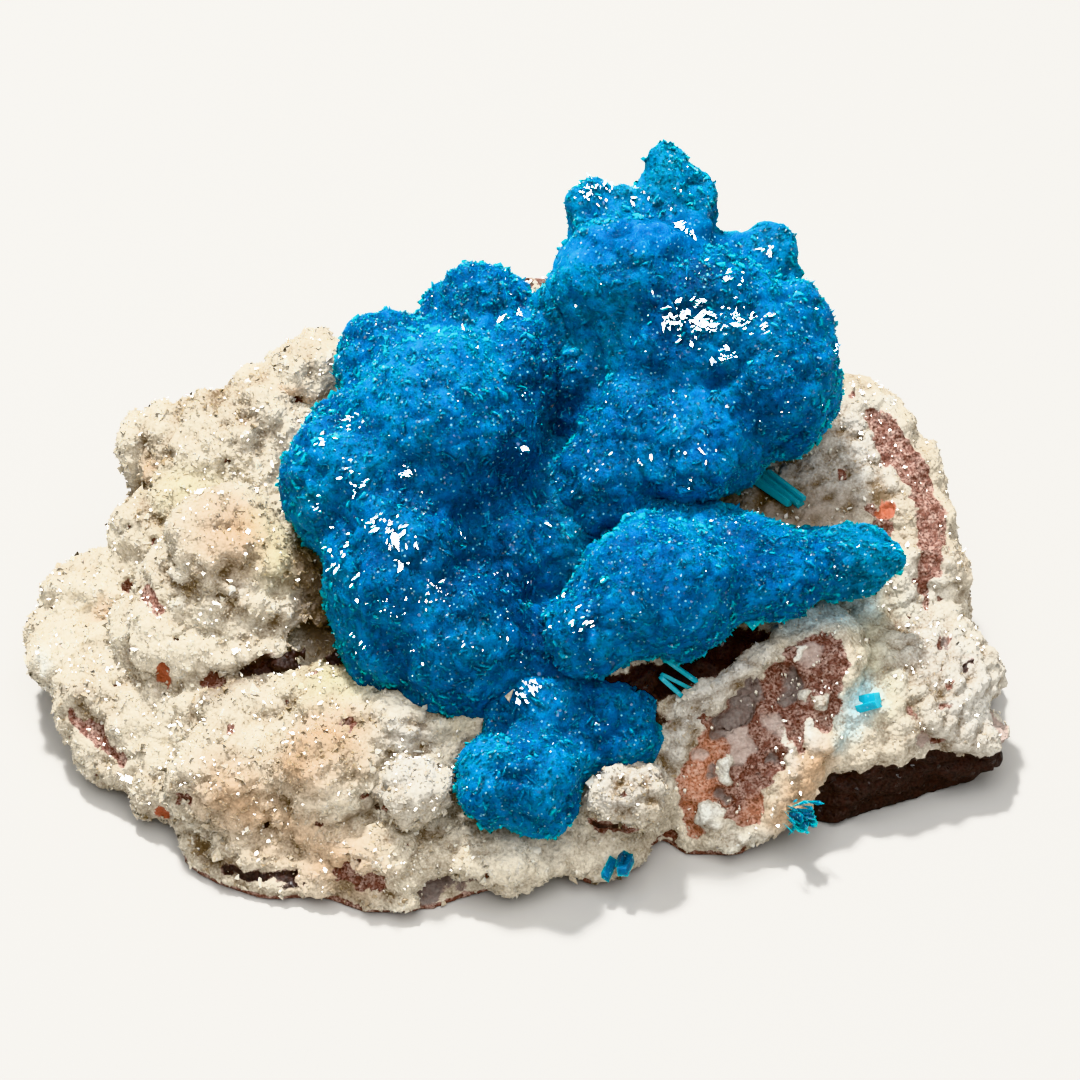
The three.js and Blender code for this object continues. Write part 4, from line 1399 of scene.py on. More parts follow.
    def flashes(self, skin: Surface, studio: "Studio", random: np.random.Generator) -> Surface:
        """Small smooth faces on the crust that mirror the lamp.

        Args:
            skin: the rock's skin.
            studio: the lamp and the camera.
            random: the source of chance.

        Returns:
            All the faces, as thin plates.
        """
        values = skin.values
        crowd = np.clip(0.4 + 1.5 * perlin(skin.points, 2.5), 0.1, 1)
        matt = np.maximum(values[Ground.DARK.name], values[Ground.OXIDE.name])
        weight = crowd * (matt < 0.4) * np.clip(skin.points[:, 2] - 0.6, 0, 1)
        feet, normals, _ = scatter(skin, self.flash_per_mm2, weight, random)
        tops = feet + FLASH_PROUD * normals
        mirrors = studio.mirror_normals(tops)
        turned = (mirrors * normals).sum(axis=1) > 0.4
        plates = self.plate.grow(tops[turned], mirrors[turned], random)
        plates.values["gloss"] = np.ones(len(plates.points))
        return plates

    def build(self, studio: "Studio") -> list[bpy.types.Object]:
        """Make the skin and the crystals and dress them.

        Args:
            studio: the lamp and the camera, for the faces that flash.

        Returns:
            The finished pieces.
        """
        random = np.random.default_rng(self.seed)
        skin = self.skin()
        rock = skin.to_object("basalt_with_zeolite_crust")
        rock.data.materials.append(RockFinish().material())
        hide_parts("matrix_rock")
        small = self.crystals(skin, self.habit, self.per_mm2, random)
        large = self.crystals(skin, self.large, self.large_per_mm2, random)
        large.values["gloss"] = np.ones(len(large.points))
        druse = Surface.joined([small, large, self.flashes(skin, studio, random)])
        grains = druse.to_object("zeolite_druse")
        grains.data.materials.append(DruseFinish().material())
        LOG.info("rock: %d triangles, druse: %d", len(skin.faces), len(druse.faces))
        return [rock, grains]


# ---- Studio -------------------------------------------------------------------------------


@dataclass(frozen=True)
class Studio:
    """A plain pale floor, soft light with one small lamp for the sparkle, and the camera.

    Args:
        distance_mm: from the camera to the specimen.
        aim_height_mm: how far above the specimen's foot the camera aims.
        elevation: degrees by which it looks down.
        lens_mm: its lens.
        lamp_towards: the direction in which the small lamp stands.
        lamp_mm: how far away that lamp is.
        floor_mm: the length of the floor's side.
        card: the floor's colour.
    """

    distance_mm: float = 265.0
    aim_height_mm: float = 12.5
    elevation: float = 42.0
    lens_mm: float = 108.1
    lamp_towards: Triple = (-0.2, 0.35, 1)
    lamp_mm: float = 600.0
    floor_mm: float = 3000.0
    card: str = "#b6b4b0"

    def eye(self) -> np.ndarray:
        """Find where the camera stands.

        Returns:
            The place, in millimetres.
        """
        tilt = math.radians(self.elevation)
        back = np.array((0, -math.cos(tilt), math.sin(tilt))) * self.distance_mm
        up = np.array((0, math.sin(tilt), math.cos(tilt))) * self.aim_height_mm
        return back + up + CENTRING

    def mirror_normals(self, points: np.ndarray) -> np.ndarray:
        """How a face at each point must lie to throw the lamp's light forwards."""
        lamp = unit(np.array(self.lamp_towards)) * self.lamp_mm
        return unit(unit(lamp - points) + unit(self.eye() - points))

    def light(self, name: str, towards: Triple, distance: float, size: float, watts: float) -> None:
        """Add a square lamp.

        Args:
            name: its name.
            towards: the direction in which it stands, seen from the specimen.
            distance: how far away, in millimetres.
            size: the length of its side, in millimetres.
            watts: its power.
        """
        lamp = bpy.data.lights.new(name, "AREA")
        lamp.energy = watts
        lamp.size = size * MM
        holder = bpy.data.objects.new(name, lamp)
        direction = Vector(towards).normalized()
        holder.location = direction * distance * MM
        holder.rotation_euler = direction.to_track_quat("Z", "Y").to_euler()
        bpy.context.scene.collection.objects.link(holder)

    def build(self) -> None:
        """Set up floor, light, surroundings and camera.

        The lamps are soft and wide except for the key, which is small so that faces flash.
        """
        span = self.floor_mm / 2
        floor = Surface(
            np.array(((-span, -span, 0), (span, -span, 0), (span, span, 0), (-span, span, 0))),
            np.array(((0, 1, 2), (0, 2, 3))),
        ).to_object("floor")
        floor.data.materials.append(self.floor_material())
        self.light("key", self.lamp_towards, self.lamp_mm, size=60, watts=6.5)
        self.light("sky", (0, -0.25, 1), 800, size=800, watts=7.5)
        self.light("front", (0.3, -1, 0.8), 800, size=600, watts=2.0)
        world = bpy.data.worlds.new("studio")
        world.use_nodes = True
        world.node_tree.nodes["Background"].inputs["Color"].default_value = (1, 1, 1, 1)
        world.node_tree.nodes["Background"].inputs["Strength"].default_value = 0.2
        bpy.context.scene.world = world
        camera = bpy.data.cameras.new("camera")
        camera.lens = self.lens_mm
        camera.sensor_width = 36
        camera.clip_end = 10
        holder = bpy.data.objects.new("camera", camera)
        holder.location = Vector(self.eye()) * MM
        holder.rotation_euler = (math.radians(90 - self.elevation), 0, 0)
        bpy.context.scene.collection.objects.link(holder)
        bpy.context.scene.camera = holder
        bpy.context.scene.view_settings.view_transform = "Khronos PBR Neutral"

    def floor_material(self) -> bpy.types.Material:
        """Matt pale card, an even ground without any glare.

        Returns:
            The material.
        """
        material = bpy.data.materials.new("matt_pale_card")
        material.use_nodes = True
        shader = material.node_tree.nodes["Principled BSDF"]
        shader.inputs["Base Color"].default_value = linear(self.card)
        shader.inputs["Roughness"].default_value = 0.8
        return material


# ---- Sprays -------------------------------------------------------------------------------


@dataclass(frozen=True)
class Lobe:
    """One rounded bulge of a spray.

    Args:
        at: its middle, from the lobes' own zero.
        radii: how far it reaches along X, Y and Z.
        turn: degrees about X, Y and Z.
    """

    at: Triple
    radii: Triple
    turn: Triple = (0.0, 0.0, 0.0)

    def middle(self) -> np.ndarray:
        """The middle in the model's frame."""
        return np.array(self.at) + CENTRING

    def rotation(self) -> np.ndarray:
        """The turn as a matrix.

        Returns:
            The matrix, which turns about X first, then Y, then Z.
        """
        x, y, z = np.radians(self.turn)
        about_x = np.array(((1, 0, 0), (0, math.cos(x), -math.sin(x)), (0, math.sin(x), math.cos(x))))
        about_y = np.array(((math.cos(y), 0, math.sin(y)), (0, 1, 0), (-math.sin(y), 0, math.cos(y))))
        about_z = np.array(((math.cos(z), -math.sin(z), 0), (math.sin(z), math.cos(z), 0), (0, 0, 1)))
        return about_x @ about_y @ about_z

    def exits(self, start: np.ndarray, directions: np.ndarray) -> np.ndarray:
        """How far rays run before they leave the lobe.

        Args:
            start: where they all begin.
            directions: where each of them goes.

        Returns:
            The distance for each ray, or 0 if it misses the lobe.
        """
        radii = np.array(self.radii)
        source = (start - self.middle()) @ self.rotation() / radii
        step = directions @ self.rotation() / radii
        square = (step**2).sum(axis=1)
        half = step @ source
        root = half**2 - square * (source @ source - 1)
        return np.where(root > 0, (np.sqrt(np.maximum(root, 0)) - half) / square, 0)

    def depth(self, points: np.ndarray, margin: float = 0.0) -> np.ndarray:
        """Below 1 for points inside the lobe, made bigger by margin."""
        local = (points - self.middle()) @ self.rotation()
        return np.linalg.norm(local / (np.array(self.radii) + margin), axis=1)


def round_ball(subdivisions: int) -> Surface:
    """An evenly divided ball of radius 1 mm round the origin.

    Args:
        subdivisions: how many times each triangle of the first rough ball is cut into four.

    Returns:
        The ball.
    """
    shape = bmesh.new()
    bmesh.ops.create_icosphere(shape, subdivisions=subdivisions, radius=MM)
    mesh = bpy.data.meshes.new("ball")
    shape.to_mesh(mesh)
    shape.free()
    ball = Surface.from_mesh(mesh)
    bpy.data.meshes.remove(mesh)
    return ball


def envelope(start: np.ndarray, lobes: list[Lobe], subdivisions: int, soft: float) -> Surface:
    """One closed surface round some lobes, as seen from start.

    Args:
        start: a point inside one of them.
        lobes: the lobes.
        subdivisions: how finely the surface is divided.
        soft: how far the lobes melt into each other.

    Returns:
        The surface.
    """
    ball = round_ball(subdivisions)
    exits = np.stack([lobe.exits(start, ball.points) for lobe in lobes])
    farthest = exits.max(axis=0)
    melted = farthest + soft * np.log(np.exp((exits - farthest) / soft).sum(axis=0))
    return Surface(start + ball.points * melted[:, None], ball.faces)


@dataclass(frozen=True)
class Glint:
    """A group of smooth crystal faces that lie parallel and mirror the lamp together.

    Args:
        at: the middle of the group, in the model's frame and near the spray's surface.
        count: half as many as it has faces, apart from those that would face away.
        reach: how far they lie from the middle.
        size: how large they are, as a share of the spray's own plate.
    """

    at: Triple
    count: int
    reach: float
    size: float


@dataclass(frozen=True)
class Tone:
    """A place where a spray's crystals are clearer, denser or greener than elsewhere, and where light and
    shade are painted on them.

    Args:
        at: its middle, in the model's frame.
        radius: how far it reaches.
        light: above 0 for clear crystals and painted light, below 0 for dense ones and painted shade.
        sea: from 0 to 1, how green they are.
    """

    at: Triple
    radius: float
    light: float
    sea: float = 0.0

    def share(self, points: np.ndarray) -> np.ndarray:
        """From 1 in its middle to 0 far away."""
        away = np.linalg.norm(points - np.array(self.at), axis=1)
        return np.exp(-((away / self.radius) ** 2))


@dataclass
class Spray:
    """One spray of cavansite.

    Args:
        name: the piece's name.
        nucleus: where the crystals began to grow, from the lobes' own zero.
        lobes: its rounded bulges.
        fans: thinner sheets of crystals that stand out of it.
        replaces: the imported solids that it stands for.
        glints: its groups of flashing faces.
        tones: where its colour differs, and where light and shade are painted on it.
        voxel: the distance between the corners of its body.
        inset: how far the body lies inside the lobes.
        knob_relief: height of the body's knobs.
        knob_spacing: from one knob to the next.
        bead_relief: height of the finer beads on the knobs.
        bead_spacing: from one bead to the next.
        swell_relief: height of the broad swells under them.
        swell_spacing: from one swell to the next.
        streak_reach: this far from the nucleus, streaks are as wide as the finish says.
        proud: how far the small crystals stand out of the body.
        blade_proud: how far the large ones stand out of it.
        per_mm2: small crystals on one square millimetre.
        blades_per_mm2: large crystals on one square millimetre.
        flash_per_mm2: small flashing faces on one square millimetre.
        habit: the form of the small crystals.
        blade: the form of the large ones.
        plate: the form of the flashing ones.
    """

    name: str
    nucleus: Triple
    lobes: list[Lobe]
    fans: list[Lobe]
    replaces: list[str]
    glints: list[Glint]
    tones: list[Tone]
    voxel: float = 0.27
    inset: float = 0.45
    knob_relief: float = 0.8
    knob_spacing: float = 2.9
    bead_relief: float = 0.4
    bead_spacing: float = 1.3
    swell_relief: float = 0.5
    swell_spacing: float = 4.5
    streak_reach: float = 12.0
    proud: float = 0.15
    blade_proud: float = 0.32
    per_mm2: float = 6.0
    blades_per_mm2: float = 0.5
    flash_per_mm2: float = 0.4
    habit: Habit = Habit(0.36, 0.8, 0.5, 0.5, 0.3, 0.2, Ending.TOOTH)
    blade: Habit = Habit(0.7, 0.5, 1.4, 0.6, 0.35, 0.15, Ending.CHISEL)
    plate: Habit = Habit(0.7, 0.34, 0.8, 1.0, 0.4, 0.014, Ending.FLAT, 0.35)

    def start(self) -> np.ndarray:
        """The nucleus in the model's frame."""
        return np.array(self.nucleus) + CENTRING

    def growth(self, points: np.ndarray) -> np.ndarray:
        """Coordinates, in metres, that stay the same along each crystal."""
        return self.streak_reach * MM * unit(points - self.start())

    def sheets(self, points: np.ndarray) -> np.ndarray:
        """Where the fans stand clear of the lobes and light comes through them.

        Args:
            points: where to ask.

        Returns:
            For each point from 0 in the lobes to 1 in a clear sheet.
        """
        thin = np.zeros(len(points))
        for fan in self.fans:
            away = np.min([lobe.depth(points) for lobe in self.lobes], axis=0)
            thin = np.maximum(thin, (fan.depth(points) < 1.2) * np.clip(4 * (away - 1), 0, 1))
        return thin

    def body(self) -> Surface:
        """The spray's closed body, just under the crystal tips.

        Returns:
            The body, with knobs and beads on it and the values that its finish asks for.
        """
        parts = [envelope(self.start(), self.lobes, 6, 0.5)]
        parts += [envelope(fan.middle(), [fan], 4, 0.5) for fan in self.fans]
        body = Surface.joined(parts).remeshed(self.voxel).relaxed(4)
        points = body.points
        uneven = points + warped(points, 17, 1.8)
        knob = domes(uneven, self.knob_spacing)
        bead = domes(uneven + 7, self.bead_spacing)
        relief = self.knob_relief * knob + self.bead_relief * bead - self.inset
        relief += self.swell_relief * perlin(points + 3, self.swell_spacing, 2)
        green = sum(0.6 * tone.sea * tone.share(points) for tone in self.tones)
        body.points = points + relief[:, None] * body.normals()
        body.smooth = np.ones(len(body.faces), bool)
        body.values = {
            "shade": np.full(len(points), 0.4),
            # the creases between knobs and beads, which the finish paints as shade
            "hollow": np.clip(0.25 - 0.9 * knob - 0.5 * bead, 0, 1),
            "thin": np.clip(0.6 * self.sheets(points) + green, 0, 1),
            # painted light and shade at the placed tones
            "tone": sum(tone.light * tone.share(points) for tone in self.tones),
            "growth": self.growth(body.points),
        }
        return body

    def crystals(
        self,
        body: Surface,
        habit: Habit,
        per_mm2: float,
        proud: float,
        hidden: "Hidden",
        random: np.random.Generator,
    ) -> Surface:
        """Crystals all over the body, pointing away from the nucleus and from the surface alike.

        Args:
            body: the spray's body.
            habit: their form.
            per_mm2: how many there are on one square millimetre.
            proud: how far they stand out of the body.
            hidden: the space in which no crystal is seen.
            random: the source of chance.

        Returns:
            All the crystals, with the colour of the body where they stand.
        """
        feet, normals, corners = scatter(body, per_mm2, np.ones(len(body.points)), random)
        directions = unit(0.5 * unit(feet - self.start()) + 0.5 * normals)
        tips = feet + proud * directions
        seen = ~hidden.holds(tips)
        crystals = habit.grow(tips[seen], directions[seen], random)
        each = len(crystals.points) // seen.sum()
        for name in ("hollow", "thin", "tone"):
            crystals.values[name] = np.repeat(body.values[name][corners][seen], each)
        crystals.values["growth"] = self.growth(crystals.points)
        crystals.values["lie"] = 2 * np.repeat(normals[seen], each, axis=0)  # lit as the body is
        crystals.smooth[:] = True
        return crystals

    def flashes(
        self, body: Surface, hidden: "Hidden", studio: Studio, random: np.random.Generator
    ) -> Surface:
        """The faces that flash: groups of large ones and small ones in many places.

        Args:
            body: the spray's body.
            hidden: the space in which no crystal is seen.
            studio: the lamp and the camera.
            random: the source of chance.

        Returns:
            All the faces, as thin plates.
        """
        tree = body.tree()
        tops, sizes = [], []
        for glint in self.glints:
            offsets = 0.5 * glint.reach * random.normal(size=(2 * glint.count, 3))
            for offset in offsets:
                where, normal, _, _ = tree.find_nearest(Vector(np.array(glint.at) + offset))
                top = np.array(where) + FLASH_PROUD * np.array(normal)
                if studio.mirror_normals(top) @ np.array(normal) > 0.5:
                    tops.append(top)
                    sizes.append(glint.size)
        crowd = np.clip(2.6 * perlin(body.points, 2.4, 2), 0.04, 1)
        feet, normals, _ = scatter(body, self.flash_per_mm2, crowd, random)
        turned = (studio.mirror_normals(feet) * normals).sum(axis=1) > 0.3
        small = (feet + SMALL_FLASH_PROUD * normals)[turned & ~hidden.holds(feet)]
        tops = np.array(tops + list(small))
        small_sizes = SMALL_FLASH_SIZE * np.exp(0.6 * random.normal(size=len(small)))
        sizes = np.array(sizes + list(small_sizes))
        sides = unit(tops - self.start()) + 0.3 * random.normal(size=tops.shape)
        plates = self.plate.grow(tops, studio.mirror_normals(tops), random, sizes, sides)
        plates.values["gloss"] = np.ones(len(plates.points))
        plates.values["growth"] = self.growth(plates.points)
        return plates

    def build(
        self, hidden: "Hidden", finish: bpy.types.Material, studio: Studio
    ) -> bpy.types.Object:
        """Make the spray.

        Args:
            hidden: the space in which no crystal is seen.
            finish: the material.
            studio: the lamp and the camera, for the faces that flash.

        Returns:
            The finished piece.
        """
        random = np.random.default_rng(sum(map(ord, self.name)))
        body = self.body()
        small = self.crystals(body, self.habit, self.per_mm2, self.proud, hidden, random)
        large = self.crystals(
            body, self.blade, self.blades_per_mm2, self.blade_proud, hidden, random
        )
        flashes = self.flashes(body, hidden, studio, random)
        whole = Surface.joined([body, small, large, flashes])
        piece = whole.to_object(self.name)
        piece.data.materials.append(finish)
        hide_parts(*self.replaces)
        LOG.info("%s: body %d, whole %d triangles", self.name, len(body.faces), len(whole.faces))
        return piece


LOBE_SKIN = 0.8  # crystals that reach less than this into another spray are kept


@dataclass
class Hidden:
    """The space inside the rock and inside other sprays, where crystals aren't seen.

    Args:
        lobes: the other sprays' lobes.
        rock: the rock's surface.
    """

    lobes: list[Lobe]
    rock: BVHTree

    def holds(self, points: np.ndarray) -> np.ndarray:
        """Find the points in that space.

        Args:
            points: where to ask.

        Returns:
            Whether each point lies in it.
        """
        inside = is_inside(self.rock, points)
        for lobe in self.lobes:
            inside |= lobe.depth(points, -LOBE_SKIN) < 1
        return inside


def is_inside(tree: BVHTree, points: np.ndarray) -> np.ndarray:
    """Find the points under a closed surface.

    Args:
        tree: the surface.
        points: where to ask.

    Returns:
        Whether each point lies under it.
    """
    inside = np.zeros(len(points), bool)
    for k, point in enumerate(points):
        where, normal, _, _ = tree.find_nearest(Vector(point))
        inside[k] = normal.dot(Vector(point) - where) < 0
    return inside


LEFT_LOBES = [
    Lobe((-7.5, 5, 23.4), (8.2, 8.4, 9)),
    Lobe((-4.6, 13.8, 27.4), (5.2, 4.4, 5.6)),
    Lobe((-11.8, 10.4, 26.2), (4.6, 4.4, 5)),
    Lobe((-14, 2, 21.2), (6.6, 6.6, 7.2)),
    Lobe((-10.8, -4.4, 17), (6.2, 7, 8)),
    Lobe((-11.4, -8.2, 13.4), (4.2, 4.2, 5)),
    Lobe((-6, -9, 13.8), (5.8, 6, 7)),
    Lobe((-2.4, -1.6, 16), (4.6, 6, 7)),
    Lobe((-1.6, 8.8, 24.8), (3.6, 5, 6.8)),
    Lobe((-6.5, 2, 15.5), (6.5, 6.5, 4.5)),
    Lobe((0.6, -8.6, 12.6), (4.2, 4.2, 4.6)),
]
LEFT_FANS = [
    Lobe((1.8, 3, 17), (4.6, 8.6, 6.2), (12, 0, 0)),
    Lobe((1, 12, 26), (2.6, 3, 6.6)),
]
LEFT_GLINTS = [
    Glint((-12, 3, 27.5), 10, 0.9, 0.33),
    Glint((-14, 1.5, 26), 5, 0.4, 0.33),
    Glint((-12, -1, 25), 12, 0.7, 0.53),
    Glint((-8, -1, 26), 10, 0.6, 0.53),
    Glint((-15, -2, 23), 7, 0.8, 0.33),
    Glint((-10, -4.5, 23.5), 14, 0.8, 0.53),
    Glint((-8.5, -5.5, 23), 15, 1.2, 0.46),
    Glint((-8.5, -7, 22), 7, 0.4, 0.99),
    Glint((-13, -5, 20.5), 15, 1.0, 0.53),
    Glint((-11, -8, 20), 12, 0.9, 0.53),
    Glint((-6, -8, 20), 14, 1.2, 0.26),
    Glint((-9, -9, 19.5), 14, 1.4, 0.26),
    Glint((-11, -9, 16), 12, 1.2, 0.4),
    Glint((0, 12, 29.5), 8, 0.7, 0.46),
    Glint((3, 7.5, 24), 8, 0.7, 0.53),
]
# painted light on lit faces and painted shade in clefts, with clearer, denser and greener stretches
LEFT_TONES = [
    Tone((-3.3, 8, 30.9), 3.0, 0.2, 0.3),
    Tone((-6.3, 4.7, 31.2), 3.5, 0.35),
    Tone((-13.2, 2.3, 27.2), 3.5, 0.3, 0.2),
    Tone((0.5, 2.4, 26.1), 3.5, -0.6),
    Tone((2.4, 6.6, 24.6), 3.0, -0.5, 0.3),
    Tone((-4.8, -2.2, 24.1), 3.0, -0.25),
    Tone((-1, -1.9, 21.8), 3.5, -0.6),
    Tone((2.4, 1.1, 21.2), 3.0, -0.8),
    Tone((-7, -6.6, 22.4), 2.6, -0.3, 0.2),
    Tone((-2.5, -6.6, 19.9), 3.5, -0.6),
    Tone((0.5, -6.5, 18.7), 3.0, -0.7),
    Tone((-13.2, -7.1, 16.1), 2.5, 0.1, 0.5),
    Tone((-5.5, -12.1, 13.6), 3.0, -0.5, 0.2),
    Tone((-15.5, -1, 23), 2.4, 0.1, 0.5),
    Tone((3, -9.5, 15), 4.0, -0.8),
    Tone((1.3, 8.9, 29.7), 1.8, -0.7),
    Tone((3.2, 7.6, 26.6), 2.4, -1.0),
]
UPPER_LOBES = [
    Lobe((12.4, 11.4, 27), (8.8, 7.4, 9)),
    Lobe((7, 13.2, 31.4), (6.6, 5.4, 6.8)),
    Lobe((18.2, 7.6, 26.4), (5.8, 5.8, 6.6)),
    Lobe((20.2, 11, 28.6), (3.2, 3.8, 4.8)),
    Lobe((12.4, 4.6, 23.8), (6, 5.8, 5.4)),
    Lobe((11.6, 0.8, 24.2), (3.8, 3.8, 3.6)),
    Lobe((4.7, 1.6, 20), (4.6, 4.8, 5.6)),
    Lobe((7.6, 4.6, 24.2), (5, 4.8, 4.6)),
    Lobe((2.8, 9.4, 21.6), (3.8, 4.6, 7.4)),
]
UPPER_FANS = [
    Lobe((4.5, 15.8, 34.8), (2.6, 1.8, 5), (-35, -10, 0)),
    Lobe((8.4, 16, 34.8), (5.6, 2.4, 4.4), (-35, 0, 0)),
    Lobe((9.9, 18, 36), (2.7, 2.2, 5.8), (-35, 0, 0)),
    Lobe((11.9, 17.6, 34.4), (2.4, 2, 4.8), (-35, 6, 0)),
    Lobe((15.6, 14.8, 31), (3.2, 2.4, 4.6), (-35, 0, 0)),
    Lobe((17.6, 14.6, 31), (3.4, 1.8, 5.4), (-38, 4, 0)),
]
UPPER_GLINTS = [
    Glint((6, 18.5, 38), 15, 1.1, 0.46),
    Glint((9.5, 19, 36.5), 15, 0.8, 0.4),
    Glint((12.5, 15.5, 35), 15, 0.7, 0.53),
    Glint((20, 16.5, 33.5), 5, 0.4, 0.4),
    Glint((16.5, 11, 34.5), 12, 0.8, 0.4),
    Glint((14, 9, 34.5), 8, 0.5, 0.53),
    Glint((12.5, 8.5, 33), 20, 1.1, 0.73),
    Glint((14.5, 8, 33), 24, 1.2, 0.66),
    Glint((17, 8.5, 33), 17, 1.1, 0.46),
    Glint((19.5, 8.5, 32.5), 10, 0.7, 0.46),
    Glint((16, 6.5, 31), 14, 0.9, 0.46),
    Glint((24.5, 12.5, 29), 14, 1.1, 0.4),
    Glint((25, 10, 29), 8, 0.7, 0.4),
    Glint((23.5, 5, 28), 14, 0.8, 0.53),
    Glint((14, 1, 25), 10, 0.9, 0.4),
    Glint((11, 2, 24), 7, 0.6, 0.4),
    Glint((7.5, 10.5, 33), 3, 0.3, 0.4),
]
# painted light and shade, with clearer, denser and greener stretches
UPPER_TONES = [
    Tone((6, 16.7, 35.4), 3.5, 0.5),
    Tone((4.4, 12.7, 32.7), 4.0, 0.75),
    Tone((6.7, 10.5, 30.5), 3.0, 0.5),
    Tone((11.4, 20.3, 39.5), 3.0, 0.5, 0.4),
    Tone((16, 13.4, 35), 3.5, -0.35, 0.4),
    Tone((12.8, 9.2, 34.3), 2.6, -0.7),
    Tone((17.4, 8.1, 32.3), 2.4, -0.3, 0.2),
    Tone((22.1, 15, 31.5), 3.0, 0.0, 0.8),
    Tone((23.6, 8.1, 30.3), 3.0, -0.1, 0.2),
    Tone((9.7, 6.5, 30), 2.4, -0.5),
    Tone((14.3, 5.9, 30.1), 2.6, 0.35),
    Tone((20.5, 3.5, 25.2), 2.5, -0.4, 0.2),
    Tone((4.4, 2.2, 22.3), 3.0, -0.5),
    Tone((3.4, 8, 27), 2.2, -0.9),
    Tone((4.8, 5.4, 23.6), 2.2, -0.7),
    Tone((6.7, -0.6, 20.5), 3.0, -0.3),
]
MIDDLE_LOBES = [
    Lobe((9, -7.6, 18.6), (6.8, 5.8, 5.8)),
    Lobe((4, -10, 16.8), (4, 4.2, 4.4)),
    Lobe((16.4, -4.8, 18), (6.8, 4.6, 4.2)),
    Lobe((11.6, -2.6, 18.8), (6, 4, 4)),
]
MIDDLE_FANS = [Lobe((23, -3, 17.4), (5.8, 3.4, 2.9), (0, 0, 6))]
MIDDLE_GLINTS = [Glint((5.5, -10.5, 19.5), 10, 0.8, 0.46), Glint((4, -11, 15.5), 8, 0.7, 0.4)]
# painted light and shade, with clearer, denser and greener stretches
MIDDLE_TONES = [
    Tone((14, -7.8, 23), 2.5, 0.3),
    Tone((27.5, -2.6, 18.4), 3.0, -0.1, 0.9),
    Tone((17.9, -6.8, 21.1), 3.0, -0.2),
    Tone((6, -10, 19), 3.0, 0.1),
    Tone((13.5, -9.6, 15.4), 3.0, -0.5),
    Tone((11, -11, 15), 2.0, -0.2, 0.6),
]
ROSETTE_LOBES = [
    Lobe((-3, -18.6, 8.8), (4, 4, 4)),
    Lobe((0, -18.4, 8.6), (3.8, 4.2, 4.6)),
    Lobe((5.2, -14.4, 9.4), (4.4, 3.4, 3.4)),
    Lobe((-0.6, -13.2, 11.2), (4.4, 3.4, 3)),
    Lobe((4, -12.6, 11), (4.8, 3.2, 2.9)),
]
ROSETTE_GLINTS = [Glint((1.2, -12, 13.5), 14, 0.9, 0.53)]
# painted light and shade, with clearer, denser and greener stretches
ROSETTE_TONES = [
    Tone((-2.4, -18.4, 11.4), 3.0, 0.6),
    Tone((3.5, -19.4, 10.8), 3.0, 0.3),
    Tone((7, -14.5, 12), 3.0, -0.1),
    Tone((0.2, -21, 6.6), 2.4, 0.1, 0.6),
    Tone((0, -14, 12.5), 2.5, -0.2),
]


def sprays() -> list[Spray]:
    """All the sprays of the specimen.

    Returns:
        The three that grew together and the low rosette.
    """
    cluster = ["cavansite_cluster"]
    rosette = ["cavansite_lower_rosette"]
    left, upper, middle, low = (-6.5, 2.5, 15.5), (11, 10, 22), (10.5, -5.4, 16.5), (1.4, -16.6, 7)
    return [
        Spray("left_spray", left, LEFT_LOBES, LEFT_FANS, cluster, LEFT_GLINTS, LEFT_TONES),
        Spray("upper_spray", upper, UPPER_LOBES, UPPER_FANS, cluster, UPPER_GLINTS, UPPER_TONES),
        Spray(
            "middle_spray", middle, MIDDLE_LOBES, MIDDLE_FANS, cluster, MIDDLE_GLINTS, MIDDLE_TONES
        ),
        Spray("lower_rosette", low, ROSETTE_LOBES, [], rosette, ROSETTE_GLINTS, ROSETTE_TONES),
    ]


# ---- Lone crystals ------------------------------------------------------------------------


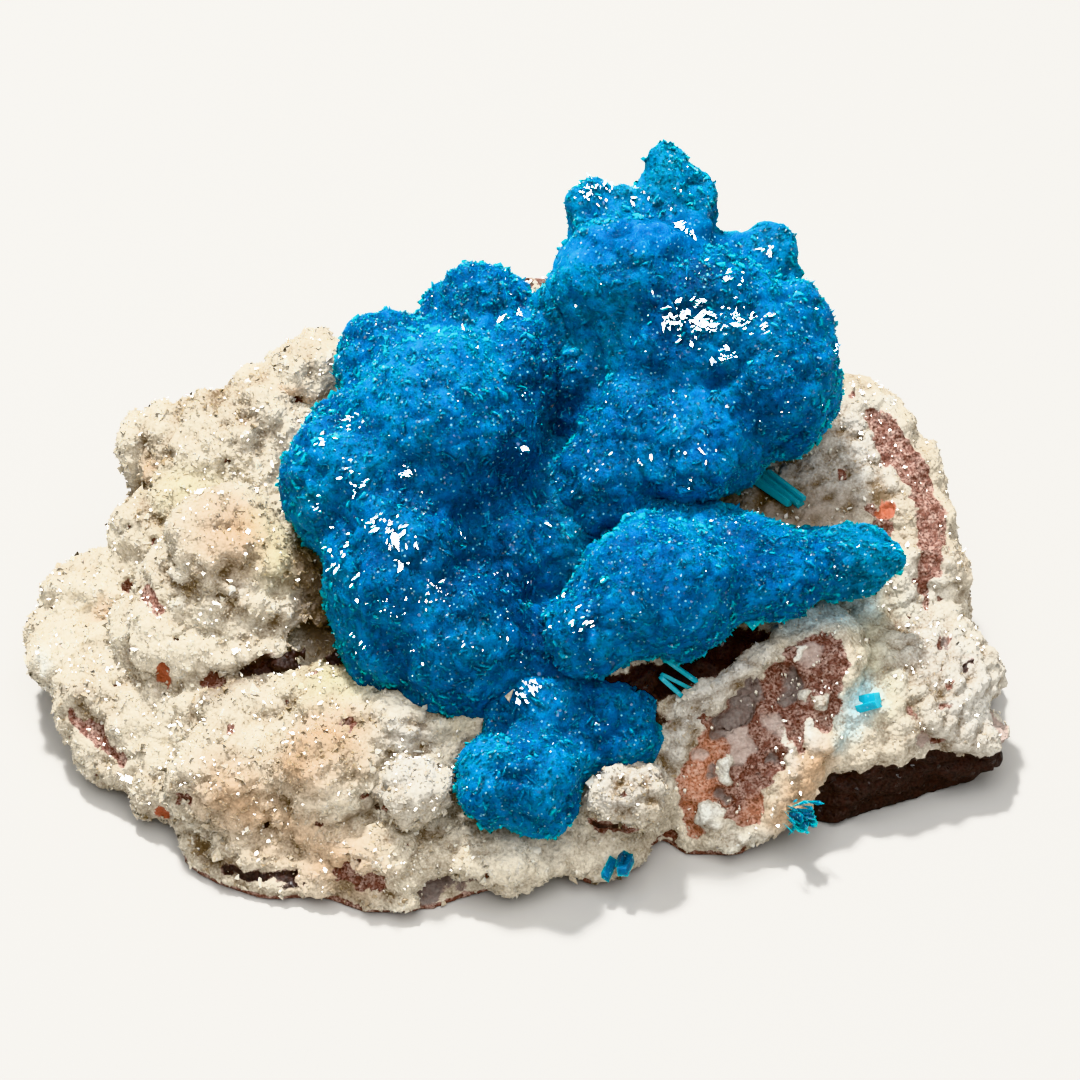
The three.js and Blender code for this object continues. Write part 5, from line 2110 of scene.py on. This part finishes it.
@dataclass(frozen=True)
class Bundle:
    """A few prisms, grown side by side, in place of one lone packed crystal.

    Args:
        node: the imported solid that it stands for.
        towards: which way the prisms point.
        count: how many there are.
        habit: the form of one prism.
        spread: how far their directions differ.
        room: how far apart they stand, as a share of a prism's width.
        clear: whether they are clear turquoise, and not as dark as the sprays.
    """

    node: str
    towards: Triple
    count: int
    habit: Habit
    spread: float
    room: float = 0.5
    clear: bool = True

    def build(self, finish: bpy.types.Material) -> bpy.types.Object:
        """Make the prisms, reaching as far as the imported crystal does.

        Args:
            finish: the material.

        Returns:
            The finished piece.
        """
        random = np.random.default_rng(len(self.node))
        solid = Surface.from_mesh(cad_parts[self.node].data)
        axis = unit(np.array(self.towards, float))
        along = solid.points @ axis
        middle = solid.points.mean(axis=0)
        root = middle + (along.min() - middle @ axis) * axis
        directions = unit(axis + self.spread * random.normal(size=(self.count, 3)))
        across = random.normal(size=(self.count, 3)) * self.habit.width * self.room
        across -= (across @ axis)[:, None] * axis
        reach = (along.max() - along.min()) * random.uniform(0.75, 1.0, self.count)
        tips = root + across + reach[:, None] * directions
        tips[:, 2] = np.maximum(tips[:, 2], self.habit.width)
        prisms = self.habit.grow(tips, directions, random)
        prisms.points[:, 2] = np.maximum(prisms.points[:, 2], 0.05)
        prisms.values["gloss"] = np.full(len(prisms.points), 0.7 if self.clear else 0.2)
        prisms.values["thin"] = np.full(len(prisms.points), 1.0 if self.clear else 0.3)
        prisms.values["tone"] = np.full(len(prisms.points), 0.0 if self.clear else -1.6)
        piece = prisms.to_object(self.node + "_prisms")
        piece.data.materials.append(finish)
        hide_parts(self.node)
        LOG.info("%s: %d triangles", piece.name, len(prisms.faces))
        return piece


def bundles() -> list[Bundle]:
    """All the lone crystals of the specimen.

    Returns:
        One bundle for each packed lone crystal.
    """
    prism = Habit(0.8, 0.7, 4.0, 1.0, 0.12, 0.0, Ending.BLOCK, 0.07)
    needle = Habit(0.45, 0.7, 3.4, 1.0, 0.15, 0.0, Ending.BLOCK, 0.07)
    short = Habit(1.1, 0.8, 1.9, 1.0, 0.1, 0.0, Ending.BLOCK, 0.07)
    blade = Habit(0.5, 0.5, 2.2, 0.8, 0.25, 0.0, Ending.CHISEL)
    return [
        Bundle("cavansite_prism_upper_right", (2.7, -2.8, -0.3), 7, prism, 0.03, 0.9),
        Bundle("cavansite_prism_right", (0.9, -0.4, 0.7), 2, short, 0.02, 0.35),
        Bundle("cavansite_blade_centre", (-0.6, -0.2, 0.8), 3, needle, 0.06, 0.8),
        Bundle("cavansite_crystal_front", (-0.2, -0.9, 0.1), 3, short, 0.1, 0.4, False),
        Bundle("cavansite_tuft_front_right", (0.5, -0.8, 0.4), 30, blade, 0.22, 1.0, False),
    ]


def main() -> None:
    """Build the specimen and its studio."""
    studio = Studio()
    pieces = MatrixRock().build(studio)
    rock = Surface.from_mesh(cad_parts["matrix_rock"].data).tree()
    finish = CavansiteFinish().material()
    clear = CLEAR_PRISM.material()
    group = sprays()
    for spray in group:
        others = [lobe for other in group if other is not spray for lobe in other.lobes]
        pieces.append(spray.build(Hidden(others, rock), finish, studio))
    pieces += [bundle.build(clear if bundle.clear else finish) for bundle in bundles()]
    for piece in pieces:
        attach(piece, "root")
    studio.build()


if __name__ == "__main__":
    main()
